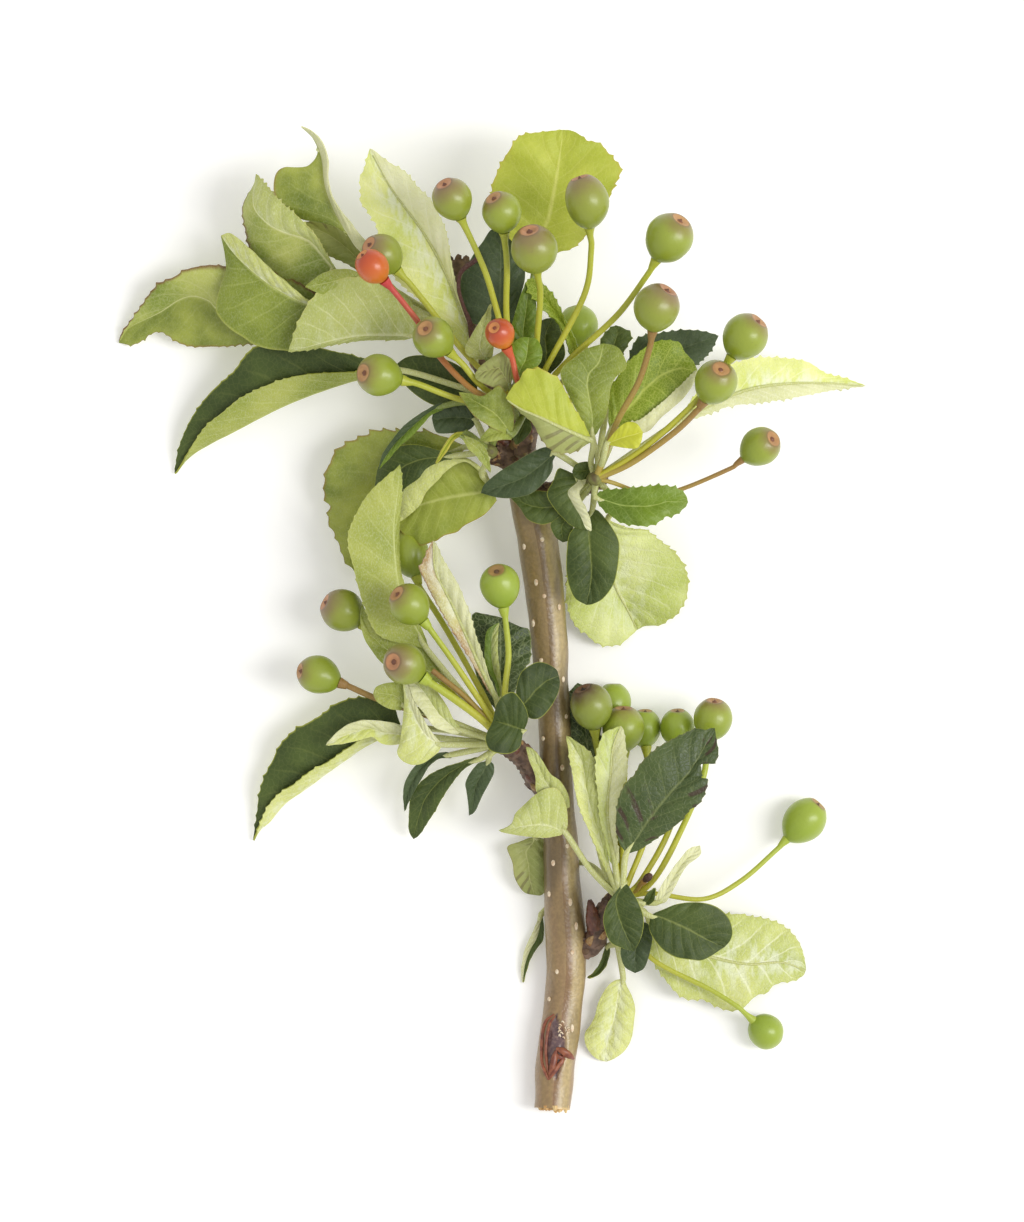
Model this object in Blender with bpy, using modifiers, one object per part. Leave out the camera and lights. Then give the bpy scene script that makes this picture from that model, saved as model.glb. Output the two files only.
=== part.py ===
"""Crabapple branch with young green fruit, lying on a surface.

+Y runs from the cut end to the branch's tip, +X is to the right seen from above, +Z is up from the
surface. The origin is the centre of the small flat spot under the lower stem. Every number below is
in millimetres, and MM turns it into metres. Sprays grow on short woody spurs. Each spray is a stack
of short green collars on its spur's end, and each collar carries one set of leaves, or pedicels with
their fruit, fused into one solid.
"""
import math
from collections import namedtuple

import bmesh
import bpy
from mathutils import Matrix, Vector

MM = 0.001

# Blades, stalks and fruit
BLADE_THICKNESS = 0.6
BLADE_END = 0.35            # half the width that a blade keeps at its base and tip
TOOTH_DEPTH = 0.09          # notch in the margin, as a share of the half width
PETIOLE_RADIUS = 0.65
PEDICEL_RADIUS = 0.7
PEDICEL_FLARE = 1.7         # how much thicker a pedicel is where it meets its fruit
PEDICEL_DEPTH = 0.8         # how far from the fruit's centre its pedicel ends, as a share of its length
RIB_SHARE = 0.3             # share of the blade that the petiole runs on under, as its rib
FRUIT_SIDES = 8
FRUIT_RINGS = 6
CALYX_DIMPLE = 0.16         # depth of the calyx's dimple, as a share of the fruit's radius
COLLAR_SIDES = 8
STEPS_BY_LENGTH = ((13, 3), (19, 4), (26, 6), (36, 8))     # stretches of a blade shorter than this
LONG_BLADE_STEPS = 10
FLAT_COLUMNS = 2
CURLED_COLUMNS = 4
NEAR_EDGE = 0.99            # beyond this share a point counts as on the margin, or at the pole
TANGENT_STEP = 0.01         # share of a midrib over which its direction is taken

# Wood: places along each axis with the radius there, (x, y, z, radius)
STEM = (
    (-1.6, -15.6, 4.2, 3.6), (-1.0, -8.0, 3.7, 3.95), (0.0, 0.0, 3.6, 3.9), (0.8, 7.0, 3.6, 3.85),
    (1.2, 12.2, 4.1, 4.0), (0.9, 19.4, 4.7, 3.9), (0.3, 30.0, 5.9, 3.65), (0.1, 38.0, 6.5, 3.35),
    (-0.7, 47.6, 7.1, 3.3), (-1.2, 63.8, 8.3, 3.25), (-1.9, 70.0, 8.8, 3.5), (-2.3, 79.6, 9.6, 3.7),
    (-3.4, 90.2, 10.6, 3.95), (-4.6, 98.0, 11.3, 4.0), (-6.4, 106.0, 12.2, 3.6), (-7.8, 113.5, 12.9, 3.5),
    (-8.3, 118.0, 13.2, 3.0),
)
LEADER = (
    (-7.8, 113.0, 12.8, 2.8), (-11.0, 123.0, 12.6, 2.2), (-14.5, 131.0, 12.2, 2.0),
    (-17.6, 138.0, 12.0, 2.2), (-19.2, 146.0, 12.0, 1.9), (-20.3, 153.8, 12.4, 2.0),
)
CROWN_SPUR = (
    (-8.0, 114.0, 13.2, 2.6), (-7.0, 120.0, 15.2, 2.4), (-6.6, 124.0, 16.4, 2.3),
    (-6.6, 124.0, 18.0, 2.1),
)
LEFT_SPUR = (
    (-7.5, 113.0, 13.5, 2.3), (-12.0, 115.0, 14.6, 2.3), (-14.0, 115.5, 15.6, 2.2),
    (-14.0, 115.5, 17.2, 1.9),
)
RIGHT_SPUR = (
    (-5.5, 106.5, 13.0, 2.4), (1.0, 107.8, 16.0, 2.2), (7.0, 110.0, 18.2, 2.2),
    (7.0, 110.0, 20.0, 2.0),
)
MIDDLE_SPUR = (
    (-1.0, 47.5, 7.4, 2.0), (-4.2, 49.5, 8.8, 2.2), (-6.2, 53.4, 10.4, 2.2), (-8.6, 56.0, 11.4, 2.1),
    (-11.0, 57.5, 12.6, 2.1), (-11.0, 57.5, 14.0, 1.9),
)
LOWER_SPUR = (
    (2.0, 17.0, 5.0, 2.5), (6.0, 19.6, 6.0, 2.7), (8.0, 23.0, 6.6, 2.4), (11.8, 26.5, 8.2, 2.2),
    (11.8, 26.5, 9.5, 2.0),
)
BUD = ((6.4, 19.4, 8.0, 1.7), (6.2, 22.0, 8.8, 1.5), (5.8, 24.4, 9.2, 0.9), (5.5, 26.0, 9.4, 0.25))
LEADER_BUD = ((-10.6, 117.0, 15.0, 1.3), (-12.6, 119.2, 15.8, 1.0), (-14.0, 121.0, 16.2, 0.3))
SPUR_RING_RADIUS = 0.4
SPUR_RING_TAPER = 0.9
SPUR_RINGS = ((MIDDLE_SPUR, 1), (MIDDLE_SPUR, 2), (MIDDLE_SPUR, 3), (LOWER_SPUR, 1), (LOWER_SPUR, 2))

# Eye-shaped bud scar on the stem's top: two raised rims that meet at both ends
SCAR_TOP_Y = 3.6
SCAR_BOTTOM_Y = -9.8
SCAR_LEFT_REACH = 3.4
SCAR_RIGHT_REACH = 2.6
SCAR_CENTRE_X = -0.7
SCAR_RIM_RADIUS = 0.6
SCAR_STEPS = 5

STEM_BEVEL = 3
TWIG_BEVEL = 2
STALK_BEVEL = 1
PETIOLE_BEVEL = 0
REST_BLOCK = (20.0, 60.0, 6.0)      # size of the block that cuts the underside level
WELD_DISTANCE = 0.01        # points closer than this are one point
SMOOTH_ANGLE = 40.0         # edges flatter than this, in degrees, are shaded smooth

# Outlines of blades: where the width is greatest, how full the base and the tip are, and the share of
# the width that a blunt tip keeps
OVATE = (0.42, 0.62, 0.95, 0.04)
POINTED = (0.40, 0.70, 1.45, 0.0)
ELLIPTIC = (0.50, 0.72, 0.80, 0.06)
ROUND = (0.50, 0.52, 0.50, 0.38)
SPATULATE = (0.64, 1.15, 0.50, 0.36)
BROAD = (0.52, 0.50, 0.62, 0.14)
FULL = (0.60, 0.62, 0.42, 0.36)
TAILED = (0.40, 0.60, 3.2, 0.0)

# A leaf is placed by its midrib's base, middle and tip. left and right are the half widths seen from
# its base towards its tip, lift is how far each half turns up from level in degrees, and curl is how
# much further it turns up at the margin. via are places that its petiole passes, and start is where
# it leaves another petiole of its own spray.
Leaf = namedtuple(
    "Leaf", "base mid tip left right lift curl outline toothed via start",
    defaults=((10, 10), (0, 0), OVATE, True, (), None),
)
# A fruit sits at the end of its pedicel, which passes the via places. length is along its axis.
Fruit = namedtuple("Fruit", "centre radius length via")
# A spray's storey: a collar at (x, y) from bottom to top, with its colour
Storey = namedtuple("Storey", "name x y bottom top radius colour")

CROWN = (-6.6, 124.0)
TOP = (-17.6, 138.0)
LEFT = (-14.0, 115.5)
RIGHT = (7.0, 110.0)
MIDDLE = (-11.0, 57.5)
LOWER = (11.8, 26.5)

BARK = (0.205, 0.135, 0.075)
DARK_GREEN = (0.032, 0.075, 0.022)
PALE_GREEN = (0.36, 0.46, 0.13)
BRIGHT_GREEN = (0.22, 0.34, 0.035)
FRUIT_GREEN = (0.24, 0.37, 0.055)
FRUITLET_RED = (0.68, 0.12, 0.035)
DRY_BROWN = (0.16, 0.06, 0.04)
BARK_ROUGHNESS = 0.55
LEAF_ROUGHNESS = 0.5
FRUIT_ROUGHNESS = 0.35
DRY_ROUGHNESS = 0.7

TOP_LEAVES = (
    Leaf((-42, 140, 15), (-67, 144, 9), (-88.2, 137.4, 0.5), 6.5, 8.5, (20, 14), (40, 60)),
    Leaf((-45, 142.5, 17), (-58, 150.5, 16), (-67.2, 158.8, 13), 13, 2.6, (-8, 60), (0, 0), BROAD,
         False),
    Leaf((-43, 149, 18), (-54.5, 158.6, 19), (-60.2, 170.4, 15), 8, 3.2, (6, 55), (0, 0)),
    Leaf((-36, 153.5, 17), (-45.3, 166, 20), (-51.3, 180, 20), 11.5, 1.2, (18, 70), (0, 0), TAILED,
         False),
    Leaf((-18.6, 140, 16.5), (-28.5, 159.5, 21.5), (-38, 175.6, 19), 7.6, 5.2, (12, 20), (0, 0)),
    Leaf((-28, 138.4, 18), (-41, 138, 20), (-53.8, 135.5, 18.6), 1.2, 11.5, (-70, 8), (0, 0), BROAD),
)
CROWN_DARK_LEAVES = (
    Leaf((-31.6, 131.6, 18), (-54.2, 124.8, 10.5), (-77, 111.4, 0.5), 8.5, 12.8, (116, 4), (0, 0),
         via=((-18, 127.6, 20),)),
    Leaf((-11, 136.5, 19), (-12.6, 148.5, 18.6), (-15, 159, 17), 5.2, 4.6, (8, 8), (0, 0), OVATE,
         False),
    Leaf((-16, 126.6, 18.6), (-24, 129.6, 17), (-33, 132.6, 14.6), 4.4, 4, (8, 8), (0, 0), ELLIPTIC,
         False),
    Leaf((-3.4, 129, 20), (-2, 136, 22.2), (-0.8, 142, 22.2), 3.2, 3.2, (8, 8), (0, 0), ELLIPTIC,
         False),
    Leaf((-7, 121.6, 19.6), (-7.4, 119, 20), (-7.4, 116.2, 20), 1.6, 1.6, (8, 8), (0, 0), ELLIPTIC,
         False),
)
CROWN_PALE_LEAVES = (
    Leaf((-5.4, 152.5, 20.5), (-2.4, 166, 21.6), (2.4, 179.4, 21), 9.8, 12.2, (6, 8), (0, 0), FULL,
         via=((-7, 138, 21),)),
    Leaf((-9.6, 127.4, 30.4), (-13, 130.4, 30.8), (-16.6, 130.8, 30.2), 3, 3.6, (10, 10), (0, 0),
         ELLIPTIC, False, ((-8.6, 120.6, 24.2), (-9.8, 122.0, 28.8))),
    Leaf((-8.6, 129.4, 30.2), (-7.2, 133.6, 30.8), (-5.8, 137.8, 30), 2.4, 2.6, (16, 16), (0, 0),
         ELLIPTIC, False, (), (-9.6, 126.4, 30.1)),
    Leaf((-9.2, 120.4, 22.4), (-12, 125.6, 22.7), (-19.8, 126.8, 22.6), 4.2, 3, (16, -6), (0, 0),
         OVATE, False),
    Leaf((-10.4, 121.4, 23.2), (-13, 119.8, 24.6), (-16, 118, 25.2), 2, 2.2, (16, 20), (0, 0),
         OVATE, False),
    Leaf((-13.8, 133, 24.6), (-16, 138.4, 26), (-13.6, 143.6, 26), 2.4, 2.6, (20, 20), (0, 0),
         ELLIPTIC, False,
         ((-10.4, 128.4, 22),)),
    Leaf((-7.8, 133, 24.6), (-7.4, 141, 25.6), (-6.6, 148.4, 25.6), 2.3, 2.3, (20, 20), (0, 0),
         ELLIPTIC, False),
    Leaf((4.2, 134, 24.6), (1.6, 143.4, 26), (-6.6, 149.4, 25.6), 1.7, 1.9, (30, 30), (0, 0),
         ELLIPTIC, False,
         ((-0.6, 128.2, 23.6),)),
)
RIGHT_DARK_LEAVES = (
    Leaf((15.4, 129.5, 23.6), (23, 135.6, 22.4), (31.6, 138.3, 20), 4.2, 4.4, (8, 8), (0, 0), OVATE,
         False),
    Leaf((7.4, 104, 22), (6.6, 95, 21), (5, 85, 19), 5.2, 5.2, (10, 10), (0, 0), OVATE, False),
    Leaf((-1.4, 114.8, 22.6), (-8, 110.8, 21.4), (-16, 107.8, 19.6), 3.8, 3.2, (8, 8), (0, 0),
         OVATE, False),
    Leaf((2, 107.6, 21), (-4, 105, 19.8), (-9.6, 103, 18.6), 3, 3, (8, 8), (0, 0), OVATE, False),
    Leaf((3, 105, 21), (0.6, 101, 20.2), (-0.6, 97.5, 19), 2.2, 2.2, (8, 8), (0, 0), OVATE, False),
    Leaf((4.2, 108.6, 22.6), (0.2, 105.4, 23.8), (5.4, 99, 22.6), 2.8, 3.8, (140, 8), (0, 0), OVATE,
         False),
    Leaf((4.6, 111.4, 22.8), (3.6, 111.8, 24.4), (2.2, 111.8, 24.8), 2.1, 2.1, (12, 12), (0, 0),
         ROUND, False),
    Leaf((10, 131, 23.6), (10.2, 135.4, 24.4), (11, 140.4, 24), 1.9, 2.1, (50, 50), (0, 0),
         ELLIPTIC, False),
)
RIGHT_PALE_LEAVES = (
    Leaf((6.4, 116, 31), (-2, 121.6, 34.8), (-10.8, 125.8, 34.6), 4.6, 9, (-28, 8), (0, 0), OVATE,
         via=((6, 113.2, 26.6),)),
    Leaf((6.2, 117.5, 30.4), (6.8, 127, 32.4), (10.2, 136.6, 32), 6.2, 4.4, (6, 6), (0, 0), ROUND,
         False,
         ((7.4, 113.4, 26.6),)),
    Leaf((9.2, 118.4, 27.8), (17, 129.4, 28.8), (26.8, 131.8, 27.6), 8, 6, (4, 12), (0, 0), OVATE),
    Leaf((26, 123, 22), (42, 129.2, 13), (61.2, 128.8, 0.5), 4.8, 4.6, (14, 10), (0, 0), POINTED),
    Leaf((8, 105.8, 27.8), (15.8, 104.6, 28.8), (25, 105.6, 28), 3.9, 4, (8, 8), (0, 0), ROUND),
    Leaf((9.4, 102, 14.6), (13.4, 90, 6.6), (13, 77, 0.6), 12.2, 11.4, (6, 4), (0, 0), ROUND,
         via=((9.6, 107.2, 24.8), (11, 104.8, 20))),
    Leaf((9.6, 117, 34.2), (13, 118.4, 35.8), (16.4, 119.4, 36), 2.2, 2.2, (12, 12), (0, 0),
         ELLIPTIC, False,
         ((4, 111.2, 26.2), (3.8, 112.4, 29.5), (5, 114.4, 32.4))),
)
LEFT_BROAD_LEAF = (
    Leaf((-19, 116.4, 16.6), (-34, 109, 8.5), (-43, 93, 3.4), 8.4, 12.4, (4, 4), (0, 0), BROAD,
         via=((-17.2, 116.2, 18.1),)),
)
LEFT_DARK_LEAVES = (
    Leaf((-20, 114.6, 18.4), (-29, 114, 15.6), (-37, 108.6, 12), 3.6, 2.8, (4, 4), (0, 0), ELLIPTIC,
         False),
    Leaf((-22, 124.4, 21.6), (-29, 119.6, 19.6), (-36.2, 112, 17), 1.3, 1.4, (10, 10), (0, 0),
         ELLIPTIC, False,
         ((-17.4, 120.6, 21.4),)),
    Leaf((-17.6, 121.2, 21), (-21, 122.6, 20.4), (-25.2, 121.6, 19.6), 3.2, 3, (8, 8), (0, 0),
         ROUND, False),
)
LEFT_PALE_LEAVES = (
    Leaf((-13.6, 108.4, 17.2), (-22, 106.4, 15.6), (-32.2, 101, 12.6), 7.2, 6.2, (-6, 30), (0, 50),
         BROAD, False,
         ((-15, 112.6, 22.4), (-15.6, 110.8, 19.4))),
    Leaf((-17, 117, 23.6), (-21, 118, 23), (-24.6, 113.6, 20.6), 0.6, 0.6, (10, 10), (0, 0),
         ELLIPTIC, False),
    Leaf((-19.6, 118.6, 25.2), (-17, 115.6, 25.4), (-13.8, 111.4, 24), 1.3, 1.3, (10, 10), (0, 0),
         ELLIPTIC, False),
)
MIDDLE_DARK_LEAVES = (
    Leaf((-11, 62, 13.8), (-11.8, 73, 12.6), (-13, 83.2, 10.6), 5.2, 4, (6, 6), (0, 0), OVATE, False),
    Leaf((-12, 64, 15.8), (-13.7, 73, 15.5), (-14.5, 81.6, 14.6), 1.4, 1.4, (20, 20), (0, 0),
         ELLIPTIC, False),
    Leaf((-32, 60.4, 11.6), (-48.5, 51.2, 7), (-61.2, 38.2, 0.5), 5, 10.6, (122, 8), (0, 0),
         via=((-22, 60, 14),)),
    Leaf((-14.6, 55, 14.4), (-22.4, 48.6, 9), (-29.2, 38.4, 3), 3.6, 3.8, (10, 10), (0, 0), OVATE,
         False),
    Leaf((-20.4, 54.6, 13), (-27.4, 50.4, 11), (-31, 43.6, 8), 2.8, 2.6, (10, 10), (0, 0), OVATE,
         False),
    Leaf((-14.2, 52.8, 12.4), (-16.4, 48.6, 10.4), (-18, 43, 7.4), 2.8, 2.6, (10, 10), (0, 0),
         OVATE, False,
         ((-13.8, 55.4, 15.2),)),
)
MIDDLE_PALE_LEAVES = (
    Leaf((-26, 75.6, 18.6), (-32.4, 93, 17), (-31.8, 112.4, 19.6), 9.4, 1.2, (4, -60), (0, 0),
         BROAD, False),
    Leaf((-22, 70, 17.6), (-30, 75.2, 16.4), (-39, 85.4, 14.6), 4.4, 4, (4, 4), (0, 0), ELLIPTIC,
         False),
    Leaf((-12.2, 65, 20), (-19.4, 83, 19.4), (-25.2, 98, 17.6), 3, 3, (10, 24), (0, 0), POINTED),
    Leaf((-27, 59, 16.2), (-36, 60.2, 15.4), (-46.5, 57, 13.6), 2.4, 2.4, (40, 30), (0, 0),
         ELLIPTIC, False,
         ((-20, 58.2, 18.4),)),
    Leaf((-23.4, 57.4, 20), (-28, 62, 20.6), (-31, 68.8, 20.2), 5.6, 1.2, (4, 60), (0, 0), OVATE,
         False),
    Leaf((-20, 60.4, 20.6), (-25, 64.4, 21), (-30, 69.8, 20.6), 2.4, 3.8, (10, 10), (0, 0),
         ELLIPTIC, False),
    Leaf((-31, 64.6, 18.2), (-34, 66, 17.8), (-37.2, 67.4, 17), 2.8, 2.8, (8, 8), (0, 0), ROUND, False,
         ((-22, 62, 19.4),)),
)
MIDDLE_ROUND_LEAVES = (
    Leaf((-7.8, 60, 25.7), (-10.7, 61, 26.2), (-14, 62, 25.8), 5, 6, (8, 8), (0, 0), ROUND, False),
    Leaf((-8.8, 64.4, 25.2), (-5, 67.6, 24.6), (-0.6, 70.8, 23), 4.7, 4.7, (8, 8), (0, 0), ROUND,
         False),
)
LOWER_DARK_LEAVES = (
    Leaf((13.4, 36, 19.8), (21.4, 47.4, 22), (30.8, 59.8, 20), 6.8, 6.2, (8, 8), (0, 0), ELLIPTIC,
         via=((12.5, 30.6, 19),)),
    Leaf((11, 29.6, 19), (12.2, 22.8, 19.4), (14.4, 16.2, 17.6), 3.9, 3.9, (8, 8), (0, 0), OVATE,
         False),
    Leaf((18.4, 24.8, 17.2), (26, 21, 17.6), (34, 17, 15.6), 4.9, 5, (8, 8), (0, 0), ROUND, False),
)
LOWER_PALE_LEAVES = (
    Leaf((10, 32, 14), (5.2, 45, 15.8), (1, 58.6, 15.4), 1.7, 3, (30, 30), (0, 0), ELLIPTIC),
    Leaf((11, 32, 14.4), (10.4, 46, 17), (11.6, 60.6, 17.6), 3.3, 2.9, (12, 20), (0, 0), ELLIPTIC),
    Leaf((0.8, 39.6, 14.6), (-4, 43.4, 15.8), (-12.2, 40.3, 14.8), 3, 4.8, (8, 8), (0, 0), POINTED,
         False,
         ((6, 32.4, 14.2),)),
    Leaf((0.6, 44, 14.8), (-2.4, 50, 15.2), (-5.6, 56.8, 15.8), 1.8, 2.6, (8, 8), (0, 0), OVATE, False,
         (), (0.8, 40.6, 14.8)),
    Leaf((-4.8, 38, 4.2), (-6.6, 33, 4.2), (-5.2, 27, 2.4), 2.4, 4, (8, 20), (0, 0), ROUND, False,
         ((9.6, 28.8, 13.4), (8, 31.6, 9), (4.9, 33.5, 3), (0, 33.6, 1.3))),
    Leaf((-4.6, 23, 2), (-5.6, 16.6, 1.4), (-7.6, 9.6, 0.8), 1.3, 1.5, (8, 8), (0, 0), ELLIPTIC, False,
         ((-4.8, 28, 1.3),), (-1.6, 34.6, 1.6)),
    Leaf((14.6, 22, 12.6), (15.8, 17, 12.2), (16, 11.8, 10.8), 2.8, 2.8, (8, 8), (0, 0), OVATE, False),
    Leaf((18.6, 20, 6.9), (34, 13.4, 3.8), (49, 10.8, 0.6), 8.6, 8.4, (4, 4), (0, 0), FULL,
         via=((14.8, 25.2, 13.4), (17.2, 23.4, 10.4))),
    Leaf((18.4, 26, 15), (22.4, 32.4, 15.6), (27.6, 37, 14.6), 2.1, 2.1, (20, 20), (0, 0), ELLIPTIC,
         False),
    Leaf((12.2, 10, 3.6), (10.2, 2, 2), (8.6, -6.4, 0.8), 4.8, 4.6, (8, 8), (0, 0), SPATULATE, False,
         ((10.8, 21.6, 12), (11.6, 16.4, 7.4))),
    Leaf((9.2, 17.4, 5.4), (8.2, 14, 3.6), (6.8, 10.6, 2.2), 1.4, 1.5, (8, 8), (0, 0), OVATE, False,
         (), (11.4, 17.4, 7.8)),
    Leaf((16.2, 26.2, 15.4), (17.4, 27.4, 15.6), (18.8, 28.8, 15.6), 1.2, 1.2, (8, 8), (0, 0),
         OVATE, False),
    Leaf((6, 50, 8.8), (4.2, 60, 7.6), (2.4, 69.4, 7), 1.6, 2.4, (6, 6), (0, 0), ELLIPTIC, False,
         ((8.6, 33, 12.4), (6.8, 42, 11))),
)

CROWN_FRUIT = (
    Fruit((-21.4, 165, 38.5), 3.9, 4.2, ((-9.6, 132, 27), (-12, 141, 28.6), (-15, 151, 33))),
    Fruit((-11.6, 162.4, 39), 3.9, 4.1, ((-8.4, 132, 27), (-10.6, 141, 28.6), (-10.6, 152, 34))),
    Fruit((-5.2, 155, 41), 4.5, 4.7, ((-5.2, 131, 27), (-4.6, 138, 28.6), (-4, 146, 33))),
    Fruit((5.2, 164.4, 40), 4.3, 5.4, ((-3, 131.6, 27.4), (4.6, 146, 30.6), (6, 155, 34))),
    Fruit((21.4, 157.4, 37), 4.7, 4.9, ((0.8, 132.6, 27.6), (11, 142, 31), (17, 150, 34.4))),
    Fruit((-25.2, 137.8, 33.4), 4, 4.2, ((-14.6, 127.4, 27.6), (-19.4, 132.6, 30.2))),
    Fruit((-36, 130.4, 29.8), 4.2, 4.4, ((-18.8, 125.4, 27), (-28, 128.6, 28.8))),
    Fruit((-35.4, 154.4, 26.6), 4, 4.2, ((-12.6, 128.8, 24.9), (-18.8, 134.8, 24), (-29, 147.6, 24.8))),
    Fruit((3.6, 140.6, 17.4), 3.9, 4.1, ((0.4, 124.6, 23.6), (5, 129, 20), (4.8, 134.4, 18))),
)
CROWN_RED_FRUITLETS = (
    Fruit((-37.2, 151.8, 33.6), 3.2, 3.6, ((-11, 125.2, 28.8), (-16.8, 127.1, 28.8), (-23.8, 134, 27),
                                           (-28.2, 141, 27.8), (-33, 147, 31))),
    Fruit((-12, 138.6, 35.6), 2.9, 3.1, ((-7.2, 126.4, 30), (-8.6, 129.4, 32.6), (-9.5, 133.4, 33.6))),
)
RIGHT_FRUIT = (
    Fruit((18.8, 143.6, 40), 4.5, 4.7, ((11, 120.8, 31.6), (15.4, 129, 34), (17.6, 136, 36.4))),
    Fruit((36.4, 138, 35.4), 4.4, 4.6, ((16, 115.6, 31), (26, 124.4, 33), (32, 131.6, 34.2))),
    Fruit((30.6, 129, 37), 4.2, 4.4, ((14, 113, 30.6), (22.4, 119, 32.6), (27.2, 123.6, 34.4))),
    Fruit((39.6, 116.4, 25.6), 3.8, 4.1, ((10.2, 109.2, 28), (13, 108.2, 26.2), (18, 106.4, 25.2),
                                        (25, 108.3, 25), (33.6, 112, 25))),
)
MIDDLE_FRUIT = (
    Fruit((-30, 85.2, 25.6), 4, 4.2, ((-14, 63, 22.8), (-20.4, 72.6, 23.6), (-25.8, 80.2, 24.8))),
    Fruit((-31, 73.4, 25.4), 4.1, 4.3, ((-15, 61.8, 22.9), (-21, 66.4, 23.8), (-25.8, 69.6, 24.6))),
    Fruit((-12, 89, 21), 4, 4.3, ((-11, 67.6, 22), (-10.3, 75, 21.5), (-10.9, 82, 21))),
)
MIDDLE_LOW_FRUIT = (
    Fruit((-48.2, 71.2, 12.4), 3.8, 4.3, ((-17.6, 60, 17.2), (-24, 62.2, 16.2), (-36, 66.2, 14.6),
                                          (-42, 68.8, 13.2))),
    Fruit((-30.2, 95.6, 10.6), 4, 5, ((-15, 66.5, 17.4), (-22.8, 80.4, 15.4), (-28, 88.6, 12.4))),
    Fruit((-43.4, 84, 12), 4.2, 4.3, ((-16.5, 63.5, 16.6), (-24, 70, 14), (-33, 76, 12.6),
                                      (-38, 80, 12.2))),
)
LOWER_FRUIT = (
    Fruit((6.2, 65, 14), 4.2, 4.5, ((11.4, 32, 11), (9.4, 46, 10.8), (7.2, 57, 12))),
    Fruit((10.6, 65.6, 4.4), 3.6, 3.9, ((12, 32, 10.6), (11.2, 46, 8), (10.8, 57, 5.6))),
    Fruit((12.6, 60.6, 11), 4.2, 4.4, ((12.4, 32, 11.2), (12.6, 44, 10.8), (12.8, 53, 10.8))),
    Fruit((16.8, 60.6, 4.6), 3.4, 3.7, ((14, 31, 11.4), (17.2, 40, 10), (17.6, 52, 6.4))),
    Fruit((23.4, 60.6, 7), 3.5, 3.8, ((16, 30, 11.2), (22, 41, 10.4), (23.6, 52, 8.4))),
    Fruit((30.4, 62.4, 12), 3.9, 4.1, ((17.4, 29, 11.6), (22, 36, 12.4), (28, 49.4, 13))),
    Fruit((48.8, 42, 4.4), 4.1, 4.8,
          ((18, 27.6, 11.3), (28.4, 26.4, 9.6), (36, 30, 7.6), (43, 36, 5.6))),
    Fruit((42, -1, 3.7), 3.6, 3.8,
          ((13.8, 21, 10.4), (18.4, 14.4, 9.4), (29.4, 8.6, 7.6), (37.4, 3.4, 5.6))),
)
WITHERED_FRUITLET = Fruit((17.6, 30.6, 14.2), 1.1, 1.3, ((14.8, 27.8, 11.6), (16.2, 29.4, 13)))
EMPTY_STALK = (
    (-11.6, 58.4, 22.4, 0.6), (-14.6, 62.4, 22.4, 0.6), (-19.6, 67.4, 22.6, 0.55), (-25.4, 72, 22.4, 0.6),
)
DRIED_STALK = (
    (-17.6, 138.2, 18.4, 0.6), (-18, 141, 20.4, 0.5), (-19.4, 144.6, 22, 0.45), (-20.2, 147.8, 22.8, 0.45),
    (-19.6, 151, 22.4, 0.45), (-16.4, 153.6, 21.4, 0.5),
)

STOREYS = {
    "top_leaves": Storey("top_leaves", *TOP, 14.5, 17.6, 2.1, PALE_GREEN),
    "crown_dark_leaves": Storey("crown_dark_leaves", *CROWN, 18.3, 20.8, 2.2, DARK_GREEN),
    "crown_pale_leaves": Storey("crown_pale_leaves", *CROWN, 21.1, 23.6, 2.2, PALE_GREEN),
    "crown_fruit": Storey("crown_fruit", *CROWN, 23.9, 26.2, 2.0, FRUIT_GREEN),
    "crown_red_fruitlets": Storey("crown_red_fruitlets", *CROWN, 26.5, 27.9, 1.5, FRUITLET_RED),
    "right_dark_leaves": Storey("right_dark_leaves", *RIGHT, 20.3, 23.3, 2.2, DARK_GREEN),
    "right_pale_leaves": Storey("right_pale_leaves", *RIGHT, 23.6, 27.0, 2.2, BRIGHT_GREEN),
    "right_fruit": Storey("right_fruit", *RIGHT, 27.3, 29.6, 1.9, FRUIT_GREEN),
    "left_broad_leaf": Storey("left_broad_leaf", *LEFT, 17.5, 19.3, 2.0, BRIGHT_GREEN),
    "left_dark_leaves": Storey("left_dark_leaves", *LEFT, 19.6, 21.6, 2.0, DARK_GREEN),
    "left_pale_leaves": Storey("left_pale_leaves", *LEFT, 21.9, 24.0, 1.8, PALE_GREEN),
    "middle_dark_leaves": Storey("middle_dark_leaves", *MIDDLE, 14.3, 16.6, 2.1, DARK_GREEN),
    "middle_low_fruit": Storey("middle_low_fruit", *MIDDLE, 16.9, 18.5, 2.0, FRUIT_GREEN),
    "middle_pale_leaves": Storey("middle_pale_leaves", *MIDDLE, 18.8, 21.0, 2.0, PALE_GREEN),
    "middle_fruit": Storey("middle_fruit", *MIDDLE, 21.3, 23.3, 1.9, FRUIT_GREEN),
    "middle_round_leaves": Storey("middle_round_leaves", *MIDDLE, 23.6, 25.2, 1.5, DARK_GREEN),
    "lower_fruit": Storey("lower_fruit", *LOWER, 9.8, 12.2, 2.0, FRUIT_GREEN),
    "lower_pale_leaves": Storey("lower_pale_leaves", *LOWER, 12.5, 15.2, 2.1, PALE_GREEN),
    "lower_dark_leaves": Storey("lower_dark_leaves", *LOWER, 15.5, 18.2, 2.1, DARK_GREEN),
}
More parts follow.
